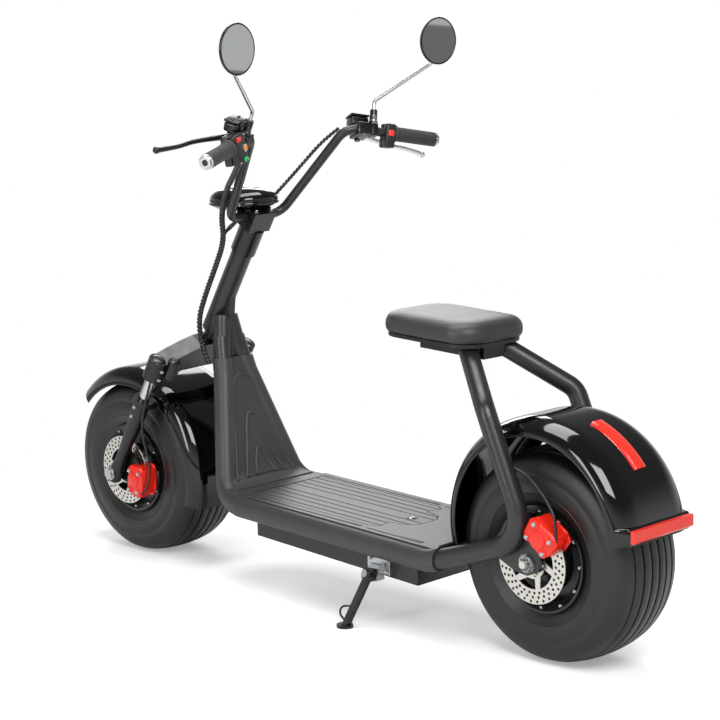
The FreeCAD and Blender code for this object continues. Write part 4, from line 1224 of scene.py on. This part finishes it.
# Ribs along the deck's edge: middle, half width, foot and top over the deck, and both ends of each
EDGE_RIB_Y = 128.0
EDGE_RIB_HALF = 5.0
EDGE_RIB_FOOT = -0.4
EDGE_RIB_TOP = 1.2
EDGE_RIBS = ((300.0, 470.0), (490.0, 895.0))


def deck_z(x):
    return DECK_TOP + DECK_SLOPE * (x - DECK_REAR)


def make_lid():
    profile = [(-SHEET_HALF, 0.0)]
    for y in LID_GROOVES:
        low = y - LID_GROOVE_HALF
        high = y + LID_GROOVE_HALF
        profile += [(low, 0.0), (low + LID_GROOVE_SIDE, -LID_GROOVE_DEEP),
                    (high - LID_GROOVE_SIDE, -LID_GROOVE_DEEP), (high, 0.0)]
    profile += [(SHEET_HALF, 0.0), (SHEET_HALF, -LID_T), (-SHEET_HALF, -LID_T)]
    sheet = bmesh.new()
    loft(sheet, [[(x, y, deck_z(x) + h) for y, h in profile] for x in SHEET_ENDS])
    cutter = bmesh.new()
    plate(cutter, list(LID_LEFT) + [(x, -y) for x, y in reversed(LID_LEFT)], 100.0,
          Matrix.Translation((0, 0, 180.0)))
    hole = bmesh.new()
    rod(hole, (LOCK_AT, 0, 180.0), (LOCK_AT, 0, 280.0), LOCK_R + 0.1, segments=48)
    lid = carved(carved(sheet, cutter, "INTERSECT"), hole)
    finish_piece("deck_lid_grooved", lid, "lid", "grained_moulded_polypropylene", replaces=("deck_lid",),
                 bevel=0.6)
    ribs = bmesh.new()
    for x0, x1 in EDGE_RIBS:
        verts = block(ribs, (x0, EDGE_RIB_Y - EDGE_RIB_HALF, EDGE_RIB_FOOT),
                      (x1, EDGE_RIB_Y + EDGE_RIB_HALF, EDGE_RIB_TOP))
        for v in verts:
            v.co.z += deck_z(v.co.x)
        soften(ribs, verts, 0.6)
    finish_piece("deck_edge_ribs", mirrored(ribs), "frame", "grained_moulded_polypropylene")
    ring = bmesh.new()
    revolve(ring, [(LOCK_R + out, up) for out, up in LOCK_RING], Vector((LOCK_AT, 0, deck_z(LOCK_AT))), Z, X,
            steps=48)
    finish_piece("lid_lock_ring", ring, "lid", "chromed_steel")


class SCOOTER_OT_deck(bpy.types.Operator):
    """Cut the grooved deck lid and add the edge ribs and the lock's ring"""
    bl_idname = "scooter.deck"
    bl_label = "Deck lid"

    def execute(self, context):
        make_lid()
        return {"FINISHED"}


# Cable loom, with the points of its route in the part, and the spiral round it
LOOM = ((748.0, 236.0, 1046.0), (826.0, 184.0, 1012.0), (931.0, 119.0, 968.0), (992.0, 86.0, 902.0),
        (1015.0, 60.0, 838.0), (1062.0, 50.0, 773.0), (1117.0, 50.0, 682.0), (1139.0, 50.0, 630.0),
        (1136.0, 47.0, 567.0), (1115.0, 44.0, 523.0))
LOOM_R = 7.0
REAR_HOSE = ((44.0, 136.0, 428.0), (0.0, 135.0, 421.0), (-40.0, 135.0, 390.0), (-72.0, 140.0, 357.0),
             (-88.0, 144.0, 335.0), (-90.0, 146.0, 290.0))
FRONT_HOSE = ((1206.0, 160.0, 488.0), (1227.0, 165.0, 430.0), (1251.0, 161.0, 377.0), (1257.0, 153.0, 326.0),
              (1249.0, 150.0, 289.0), (1242.0, 150.0, 251.0), (1254.0, 149.0, 210.0), (1284.0, 147.0, 184.0))
HOSE_R = 3.0
# Twisted lead from the right controls down to the lamp
RIGHT_LEAD = ((812.0, -146.0, 1096.0), (838.0, -120.0, 1072.0), (890.0, -92.0, 1012.0), (936.0, -68.0, 960.0),
              (962.0, -50.0, 930.0), (975.0, -40.0, 916.0))
LEAD_R = 4.4
# Spiral wrap: share of the pitch that its band covers, sides of the cord, and distance between its rings
WRAP_SHARE = 0.64
WRAP_SIDES = 20
WRAP_STEP = 1.4
# Depth of the gap between the bands on the loom, and the sunk edge of a band: depth and width
WRAP_GAP = 2.2
WRAP_EDGE = 0.4
WRAP_EDGE_WIDE = 0.6


def line_of(points):
    """Points along the smooth line of a route"""
    mesh = curve_mesh(smooth_curve("line", points, 24))
    line = [v.co.copy() for v in mesh.vertices]
    bpy.data.meshes.remove(mesh)
    return line


def evenly(line, step):
    """Points a step apart along a line"""
    spots = [line[0].copy()]
    left = step
    for a, b in zip(line, line[1:]):
        run = (b - a).length
        while run >= left:
            a = a + (b - a).normalized() * left
            spots.append(a.copy())
            run -= left
            left = step
        left -= run
    return spots


def swept(section_at, line):
    """Tube whose section may change along a line; section_at gives the radii round one of its points"""
    bm = bmesh.new()
    across = (line[1] - line[0]).orthogonal().normalized()
    rings = []
    for i, place in enumerate(line):
        ahead = (line[min(i + 1, len(line) - 1)] - line[max(i - 1, 0)]).normalized()
        across = (across - ahead * across.dot(ahead)).normalized()
        other = ahead.cross(across)
        radii = section_at(i)
        ring = []
        for k, radius in enumerate(radii):
            angle = math.tau * k / len(radii)
            ring.append(place + (across * math.cos(angle) + other * math.sin(angle)) * radius)
        rings.append(ring)
    loft(bm, rings)
    return bm


def wrapped(route, outer):
    """Cord with a band wound round it, along its route"""
    pitch = size_mm("wrap_pitch")
    gap = WRAP_GAP * outer / LOOM_R

    def radii(i):
        ring = []
        for k in range(WRAP_SIDES):
            phase = (i * WRAP_STEP / pitch - k / WRAP_SIDES) % 1.0
            edge = min(phase, 1.0 - phase) * pitch
            ring.append(outer - (gap if phase > WRAP_SHARE else 0.0) - WRAP_EDGE * (edge < WRAP_EDGE_WIDE))
        return ring

    return swept(radii, evenly(line_of(route), WRAP_STEP))


def hose_piece(name, route, body, placed, node):
    """Brake hose as a curve along its route"""
    curve = smooth_curve(name, [placed @ Vector(place) for place in route], 16, HOSE_R * 0.001, 5)
    curve.materials.append(MATERIALS["extruded_rubber"])
    enrol(new_object(name, curve), body, (node,))


def make_loom():
    finish_piece("cable_loom_wrapped", joined(wrapped(LOOM, LOOM_R), wrapped(RIGHT_LEAD, LEAD_R)), "steering",
                 "spiral_polyethylene_wrap", STEERED, replaces=("cable_loom",), sharp=30.0)
    hose_piece("rear_brake_hose_smooth", REAR_HOSE, "frame", UPRIGHT, "rear_brake_hose")
    hose_piece("front_brake_hose_smooth", FRONT_HOSE, "steering", STEERED, "front_brake_hose")


class SCOOTER_OT_loom(bpy.types.Operator):
    """Wind the spiral wrap round the cable loom and lay the brake hoses"""
    bl_idname = "scooter.loom"
    bl_label = "Loom and hoses"

    def execute(self, context):
        make_loom()
        return {"FINISHED"}


# Fenders, as in the part: centre x and z, crown radius, half width, skirt, first and last angle
REAR_FENDER = (8.0, 278.0, 248.0, 114.0, 37.0, -14.0, 176.0)
FRONT_FENDER = (1380.0, 227.0, 267.0, 110.0, 42.0, 46.0, 196.0)
FENDER_T = 3.0
FENDER_CORNERS = {REAR_FENDER: 58.0, FRONT_FENDER: 40.0}
ARCH_STEPS = 14
# Housing behind the tail bar, joined to the fender's end: x, half width, z
TAIL_HOUSING = ((-239.0, 100.0, 295.0), (-205.0, 113.0, 333.0))
# Lugs of the front fender on the fork: place along it, to the side, and half size
LUG_ALONG = 228.0
LUG_Y = 118.0
LUG_HALF = Vector((17.0, 13.0, 11.0))
# Reflector strip: first angle, turn, half width, and its rounded side as height over the fender and inset
STRIP_FIRST = 110.0
STRIP_TURN = 32.0
STRIP_HALF = 19.0
STRIP_SIDE = ((-0.5, 0.0), (4.0, 2.0), (6.0, 5.0))
# Rolled lip: how far over the skirt's end and in from its side, and the sides of its bead
LIP_OVER = 0.6
LIP_IN = 1.4
LIP_SIDES = 12


def fender_skin(row):
    """Arched section of the part, with a finely rounded corner, turned about the wheel"""
    x, z, crown, half, skirt, first, last = row
    corner = FENDER_CORNERS[row]

    def arch(inset):
        side = [(crown - skirt + (skirt - inset) * math.sin(a),
                 half - corner + (corner - inset) * math.cos(a))
                for a in (math.pi / 2 * i / ARCH_STEPS for i in range(ARCH_STEPS + 1))]
        return side + [(r, -y) for r, y in reversed(side)]

    bm = bmesh.new()
    revolve(bm, arch(0.0) + arch(FENDER_T)[::-1], Vector((x, 0, z)), -Y, round_spot(1.0, math.radians(first)),
            steps=120, angle=math.radians(last - first))
    capped(bm)
    bmesh.ops.recalc_face_normals(bm, faces=bm.faces)
    return bm


def reflector_strip():
    x, z, crown = REAR_FENDER[:3]
    left = [(crown + over, inset - STRIP_HALF) for over, inset in STRIP_SIDE]
    strip = bmesh.new()
    revolve(strip, left + [(r, -y) for r, y in reversed(left)], Vector((x, 0, z)), -Y,
            round_spot(1.0, math.radians(STRIP_FIRST)), steps=40, angle=math.radians(STRIP_TURN))
    capped(strip)
    return strip


def make_fenders():
    rear = fender_skin(REAR_FENDER)
    (x0, half, z0), (x1, wide, z1) = TAIL_HOUSING
    verts = block(rear, (x0, -half, z0), (x1, half, z1))
    for v in verts:
        if v.co.x > x0 + 1.0:
            v.co.y *= wide / half
    soften(rear, verts, 6.0, 3)
    finish_piece("rear_fender_moulded", rear, "frame", "gloss_moulded_abs", replaces=("rear_fender",),
                 sharp=50.0)
    front = fender_skin(FRONT_FENDER)
    for side in (1, -1):
        at = Matrix.Translation(at_fork(LUG_ALONG, side * LUG_Y)) @ Matrix.Rotation(-RAKE, 4, "Y")
        soften(front, block(front, -LUG_HALF, LUG_HALF, at), 3.0, 2)
    # the strip itself is smooth; its prism facets are only painted light and shade in its material
    finish_piece("tail_reflector_prisms", reflector_strip(), "frame", "moulded_red_acrylic",
                 replaces=("tail_reflector",), sharp=50.0)
    finish_piece("front_fender_moulded", front, "steering", "gloss_moulded_abs", STEERED,
                 replaces=("front_fender",), sharp=50.0)


def fender_lips(row, radius):
    """Rolled bead along both lower edges of a fender"""
    x, z, crown, half, skirt, first, last = row
    bm = bmesh.new()
    middle = crown - skirt + LIP_OVER
    bead = [(middle + radius * math.cos(a), radius * math.sin(a)) for a in
            (math.tau * i / LIP_SIDES for i in range(LIP_SIDES))]
    for y in (half - LIP_IN, LIP_IN - half):
        revolve(bm, bead, Vector((x, y, z)), -Y, round_spot(1.0, math.radians(first)), steps=72,
                angle=math.radians(last - first))
    capped(bm)
    return bm


class SCOOTER_OT_fenders(bpy.types.Operator):
    """Turn both fenders, roll their lower edges and lay the reflector strip"""
    bl_idname = "scooter.fenders"
    bl_label = "Fenders"

    def execute(self, context):
        make_fenders()
        finish_piece("rear_fender_lips", fender_lips(REAR_FENDER, 2.4), "frame", "satin_moulded_abs")
        finish_piece("front_fender_lips", fender_lips(FRONT_FENDER, 2.2), "steering", "satin_moulded_abs",
                     STEERED)
        return {"FINISHED"}


# Fork: height of the crown and places of its parts
CROWN_S = 370.0
LEG_Y = 146.0
BOSS_Y = 120.0


def at_fork(along, side, ahead=0.0):
    return FRONT + AXIS * along + Y * side + AHEAD * ahead


def at_wheel(centre, angle, out, side, y):
    """Point on a wheel's side view: out from the axle at an angle, then square to that"""
    a = math.radians(angle)
    return centre + Vector((out * math.cos(a) - side * math.sin(a), y,
                            out * math.sin(a) + side * math.cos(a)))


# Calipers: end, middle of the wheel, angle on it, body and place
CALIPERS = (("rear", REAR, 128.0, "frame", UPRIGHT), ("front", FRONT, 190.0, "steering", STEERED))
# Caliper seen from the side: out from the axle, then square to that
CALIPER = ((54.0, -34.0), (62.0, -40.0), (98.0, -44.0), (108.0, -30.0), (112.0, 18.0), (104.0, 40.0),
           (70.0, 40.0), (52.0, 22.0))
# Its inner and outer half: first and last y, rounding
CALIPER_HALVES = ((101.2, 109.2, 2.6), (122.8, 152.0, 5.0))
CALIPER_BRIDGE = ((95.0, 104.0, -36.0), (110.0, 146.0, 30.0))
# Boss over the piston, then those of the screws: out, side, radius
BOSSES = ((76.0, -2.0, 20.0), (98.0, -26.0, 9.5), (98.0, 24.0, 9.5), (62.0, -24.0, 8.5), (64.0, 26.0, 8.5))
BOSS_FROM = 140.0
BOSS_LONG = 14.6


def make_calipers():
    for end, centre, angle, body, placed in CALIPERS:
        bm = bmesh.new()
        turn = Matrix.Translation(centre) @ Matrix.Rotation(-math.radians(angle), 4, "Y")
        for y0, y1, rounding in CALIPER_HALVES:
            soften(bm, plate(bm, CALIPER, y1 - y0, side_view(turn, y1)), rounding, 3)
        soften(bm, block(bm, *CALIPER_BRIDGE, turn), 4.0, 3)
        for out, side, radius in BOSSES:
            place = at_wheel(centre, angle, out, side, BOSS_FROM)
            soften(bm, rod(bm, place, place + Y * BOSS_LONG, radius, segments=40), 1.6, 2)
        bmesh.ops.recalc_face_normals(bm, faces=bm.faces)
        finish_piece(end + "_caliper_cast", bm, body, "baked_red_enamel", placed,
                     replaces=(end + "_caliper",), sharp=40.0)


# Screws of the frame: x and z of those on top of the tubes, on the dropouts and on the stand's plate
TUBE_SCREWS = ((74.0, 488.0), (222.0, 212.0))
DROPOUT_SCREWS = ((62.0, 262.0), (28.0, 306.0))
STAND_SCREWS = ((412.0, 158.0), (466.0, 158.0), (412.0, 134.0), (466.0, 134.0))
# x of the screws along the deck's sides
DECK_SCREWS = (350.0, 500.0, 680.0, 836.0)
BAR_MIDDLE = Vector((965.0, 0.0, 894.0))
RIM_SCREWS = 12


def fork_screws():
    bm = bmesh.new()
    for side in (1, -1):
        for along in (CROWN_S - 44.0, CROWN_S - 18.0):
            bolt(bm, at_fork(along, side * (LEG_Y - 6.0), 24.0), AHEAD, 5.0, 4.0)
            bolt(bm, at_fork(along, side * (LEG_Y + 2.0), -24.0), -AHEAD, 5.0, 4.0)
        bolt(bm, at_fork(0.0, side * 165.6), Y * side, 13.0, 9.0, "hex")
        bolt(bm, at_fork(192.0, side * (LEG_Y + 18.5)), Y * side, 5.0, 4.0)
        bolt(bm, at_fork(222.0, side * (LEG_Y + 20.0)), Y * side, 5.0, 4.0)
    for ahead in (-20.0, 20.0):
        for side in (-24.0, 24.0):
            bolt(bm, BAR_MIDDLE + Y * side + AXIS * 26.0 + AHEAD * ahead, AXIS, 4.6, 4.0)
    return bm


def fork_caps():
    bm = bmesh.new()
    for side in (1, -1):
        bolt(bm, at_fork(CROWN_S + 1.8, side * LEG_Y), AXIS, 20.0, 4.0, "dome")
        bolt(bm, at_fork(CROWN_S + 13.8, side * BOSS_Y, -30.0), AXIS, 13.0, 4.0, "dome")
    return bm


def frame_screws():
    bm = bmesh.new()
    for side in (1, -1):
        bolt(bm, REAR + Y * 131.0 * side, Y * side, 16.0, 10.0, "hex")
        for x, z in TUBE_SCREWS:
            bolt(bm, Vector((x, 128.0 * side, z + 6.0)), Z, 4.2, 3.0)
        for x, z in DROPOUT_SCREWS:
            bolt(bm, Vector((x, 131.0 * side, z)), Y * side, 5.0, 4.0)
    for x, z in STAND_SCREWS:
        bolt(bm, Vector((x, 128.0, z)), Y, 4.6, 4.0)
    for x in DECK_SCREWS:
        for side in (1, -1):
            bolt(bm, Vector((x, 120.0 * side, deck_z(x) - 34.0)), Y * side, 3.6, 2.0)
    return bm


def make_fasteners():
    finish_piece("fork_and_clamp_screws", fork_screws(), "steering", "zinc_plated_steel", STEERED)
    finish_piece("fork_caps", fork_caps(), "steering", "painted_cast_aluminium", STEERED)
    finish_piece("frame_screws", frame_screws(), "frame", "zinc_plated_steel")
    for end, centre, angle, body, placed in CALIPERS:
        bm = bmesh.new()
        for out, side, _ in BOSSES[1:]:
            bolt(bm, at_wheel(centre, angle, out, side, 154.4), Y, 5.2, 3.5)
        finish_piece(end + "_caliper_screws", bm, body, "zinc_plated_steel", placed)
        bm = bmesh.new()
        place = at_wheel(centre, angle, 84.0, -36.0, BOSS_FROM)
        rod(bm, place, place + Y * 4.0, 8.0, segments=24)
        bolt(bm, place + Y * 4.0, Y, 5.6, 5.0, "hex")
        finish_piece(end + "_banjo", bm, body, "turned_brass", placed, bevel=0.4)
    for end, centre, body, placed in WHEELS:
        bm = bmesh.new()
        for i in range(RIM_SCREWS):
            for side in (1, -1):
                spot = at_wheel(centre, 360.0 / RIM_SCREWS * i, 103.5, 0.0, side * 87.6)
                bolt(bm, spot, Y * side, 3.8, 3.0)
        valve = at_wheel(centre, 100.0, 100.0, 0.0, 80.0)
        rod(bm, valve, valve + Vector((-6.0, 22.0, -20.0)), 3.0, 2.4, segments=16)
        finish_piece(end + "_rim_screws", bm, body, "zinc_plated_steel", placed)


# Side stand: pivot and foot of the leg, the hoop at its foot as along the leg, out and across, and the pin
STAND_PIVOT = Vector((446.0, 152.0, 127.0))
STAND_FOOT = Vector((486.0, 193.0, 7.0))
STAND_HOOP = ((84.0, 9.0, 0.0), (88.0, 20.0, 4.0), (100.0, 26.0, 10.0), (116.0, 20.0, 12.0),
              (120.0, 8.0, 10.0))
PIN_ALONG = 96.0
PIN_HALF = 18.0


def make_stand_parts():
    leg = (STAND_FOOT - STAND_PIVOT).normalized()
    across = leg.cross(Z).normalized()
    out = across.cross(leg)
    hoop = bent([STAND_PIVOT + leg * a + out * o + across * c for a, o, c in STAND_HOOP], 2.4)
    finish_piece("stand_foot_hoop", hoop, "side_stand", "painted_cast_aluminium")
    pin = bmesh.new()
    spot = STAND_PIVOT + leg * PIN_ALONG
    rod(pin, spot - across * PIN_HALF, spot + across * PIN_HALF, 3.4, segments=20)
    bolt(pin, spot + across * PIN_HALF, across, 5.0, 3.0, "hex")
    finish_piece("stand_stop_pin", pin, "side_stand", "painted_cast_aluminium", bevel=0.4)


class SCOOTER_OT_fasteners(bpy.types.Operator):
    """Cast the calipers and drive in the screws, nuts and banjos"""
    bl_idname = "scooter.fasteners"
    bl_label = "Fasteners"

    def execute(self, context):
        make_calipers()
        make_fasteners()
        make_stand_parts()
        return {"FINISHED"}


def area_light(name, place, aim, width, height, power):
    lamp = bpy.data.lights.new(name, "AREA")
    lamp.shape = "RECTANGLE"
    lamp.size = width
    lamp.size_y = height
    lamp.energy = power
    obj = new_object(name, lamp)
    obj.location = place
    obj.rotation_mode = "QUATERNION"
    obj.rotation_quaternion = (Vector(aim) - Vector(place)).to_track_quat("-Z", "Y")


def make_world():
    world = bpy.data.worlds.new("studio")
    bpy.context.scene.world = world
    world.use_nodes = True
    tree = world.node_tree
    tree.nodes.clear()
    path = add_node(tree, "ShaderNodeLightPath")
    seen = add_node(tree, "ShaderNodeMath", {"operation": "MAXIMUM"},
                    {0: path.outputs["Is Camera Ray"], 1: path.outputs["Is Transmission Ray"]})
    coords = add_node(tree, "ShaderNodeTexCoord")
    split = add_node(tree, "ShaderNodeSeparateXYZ", None, {"Vector": coords.outputs["Generated"]})
    rise = add_node(tree, "ShaderNodeMapRange", {"From Min": 0.05, "From Max": 0.45, "To Min": 1.0,
                                                 "To Max": 0.22, "interpolation_type": "SMOOTHSTEP"},
                    {"Value": split.outputs["Z"]})
    glossy = add_node(tree, "ShaderNodeMix", {"data_type": "FLOAT", "A": 0.42},
                      {"Factor": path.outputs["Is Glossy Ray"], "B": rise.outputs["Result"]})
    strength = add_node(tree, "ShaderNodeMix", {"data_type": "FLOAT", "B": 1.0},
                        {"Factor": seen.outputs["Value"], "A": glossy.outputs["Result"]})
    back = add_node(tree, "ShaderNodeBackground", {"Color": (1, 1, 1, 1)},
                    {"Strength": strength.outputs["Result"]})
    add_node(tree, "ShaderNodeOutputWorld", None, {"Surface": back.outputs["Background"]})


# Floor, in metres: its radius, and the distances over which it fades to white
FLOOR_R = 40.0
FADE_START = 0.9
FADE_END = 1.9


def make_floor():
    # pale matt floor that keeps the shadow and fades into the white background
    made = bpy.data.materials.new("studio_floor")
    made.use_nodes = True
    tree = made.node_tree
    tree.nodes.clear()
    path = add_node(tree, "ShaderNodeLightPath")
    diffuse = add_node(tree, "ShaderNodeBsdfDiffuse", {"Color": linear("#e6e6e6")})
    lift = add_node(tree, "ShaderNodeMath", {"operation": "MULTIPLY", 1: 0.3},
                    {0: path.outputs["Is Camera Ray"]})
    glow = add_node(tree, "ShaderNodeEmission", None, {"Strength": lift.outputs["Value"]})
    both = add_node(tree, "ShaderNodeAddShader", None,
                    {0: diffuse.outputs["BSDF"], 1: glow.outputs["Emission"]})
    coords = add_node(tree, "ShaderNodeTexCoord")
    away = add_node(tree, "ShaderNodeVectorMath", {"operation": "LENGTH"}, {0: coords.outputs["Object"]})
    fade = add_node(tree, "ShaderNodeMapRange", {"From Min": FADE_START, "From Max": FADE_END,
                                                 "interpolation_type": "SMOOTHSTEP"},
                    {"Value": away.outputs["Value"]})
    seen = add_node(tree, "ShaderNodeMath", {"operation": "MULTIPLY"},
                    {0: fade.outputs["Result"], 1: path.outputs["Is Camera Ray"]})
    white = add_node(tree, "ShaderNodeEmission", {"Strength": 1.0})
    ground = add_node(tree, "ShaderNodeMixShader", None,
                      {0: seen.outputs["Value"], 1: both.outputs["Shader"], 2: white.outputs["Emission"]})
    add_node(tree, "ShaderNodeOutputMaterial", None, {"Surface": ground.outputs["Shader"]})
    bm = bmesh.new()
    bmesh.ops.create_circle(bm, cap_ends=True, radius=FLOOR_R, segments=64)
    mesh = mesh_from("floor", bm)
    mesh.materials.append(made)
    floor = new_object("floor", mesh)


# Camera of the photograph in radians, metres and pixels, from the fit to the wheels, deck and bar
CAMERA_AZIMUTH = 0.771
CAMERA_RISE = 0.1345
CAMERA_DISTANCE = 4.2106
CAMERA_TARGET = Vector((0.6325, 0.0, 0.5699)) - ORIGIN * 0.001
FOCAL_PX = 1809.58
CENTRE_PX = 1.21
FRAME_PX = 720.0


def make_camera():
    back = Vector((-math.cos(CAMERA_AZIMUTH) * math.cos(CAMERA_RISE),
                   math.sin(CAMERA_AZIMUTH) * math.cos(CAMERA_RISE), math.sin(CAMERA_RISE)))
    data = bpy.data.cameras.new("camera")
    data.sensor_width = 36.0
    data.lens = FOCAL_PX / FRAME_PX * data.sensor_width
    data.shift_x = -CENTRE_PX / FRAME_PX
    camera = new_object("camera", data)
    camera.location = CAMERA_TARGET + back * CAMERA_DISTANCE
    camera.rotation_mode = "QUATERNION"
    camera.rotation_quaternion = (-back).to_track_quat("-Z", "Y")
    bpy.context.scene.camera = camera


# Soft lights: name, place and aim in metres, width, height, watts
LIGHTS = (("key", (-2.6, 1.4, 2.6), (0.0, 0.0, 0.5), 1.6, 1.6, 85.0),
          ("side", (-0.4, 3.4, 1.6), (0.0, 0.0, 0.5), 0.7, 2.2, 45.0),
          ("top", (0.2, 0.0, 3.2), (0.0, 0.0, 0.0), 2.6, 1.2, 70.0),
          ("far", (2.4, -2.2, 2.2), (0.0, 0.0, 0.5), 1.6, 1.6, 45.0))


class SCOOTER_OT_stage(bpy.types.Operator):
    """Make the pale floor, the soft lights, the white background and the photograph's camera"""
    bl_idname = "scooter.stage"
    bl_label = "Stage"

    def execute(self, context):
        make_world()
        make_floor()
        make_camera()
        for light in LIGHTS:
            area_light(*light)
        context.scene.view_settings.view_transform = "Standard"
        return {"FINISHED"}


STEPS = (SCOOTER_OT_finishes, SCOOTER_OT_tyres, SCOOTER_OT_discs, SCOOTER_OT_grips, SCOOTER_OT_controls,
         SCOOTER_OT_mirrors, SCOOTER_OT_lamp, SCOOTER_OT_seat, SCOOTER_OT_shield_ribs, SCOOTER_OT_deck,
         SCOOTER_OT_loom, SCOOTER_OT_fenders, SCOOTER_OT_fasteners, SCOOTER_OT_stage)


class SCOOTER_PT_panel(bpy.types.Panel):
    """Lists the scooter's steps"""
    bl_idname = "SCOOTER_PT_panel"
    bl_label = "Scooter"
    bl_space_type = "VIEW_3D"
    bl_region_type = "UI"
    bl_category = "Scooter"

    def draw(self, context):
        for group in (context.scene.scooter_colours, context.scene.scooter_sizes):
            for key in group.__annotations__:
                self.layout.prop(group, key)
        for step in STEPS:
            self.layout.operator(step.bl_idname)


CLASSES = (ScooterColours, ScooterSizes) + STEPS + (SCOOTER_PT_panel,)


def register():
    for cls in CLASSES:
        bpy.utils.register_class(cls)
    bpy.types.Scene.scooter_colours = bpy.props.PointerProperty(type=ScooterColours)
    bpy.types.Scene.scooter_sizes = bpy.props.PointerProperty(type=ScooterSizes)


def unregister():
    del bpy.types.Scene.scooter_sizes
    del bpy.types.Scene.scooter_colours
    for cls in reversed(CLASSES):
        bpy.utils.unregister_class(cls)


def main():
    register()
    for step in STEPS:
        area, name = step.bl_idname.split(".")
        getattr(getattr(bpy.ops, area), name)()


if __name__ == "__main__":
    main()
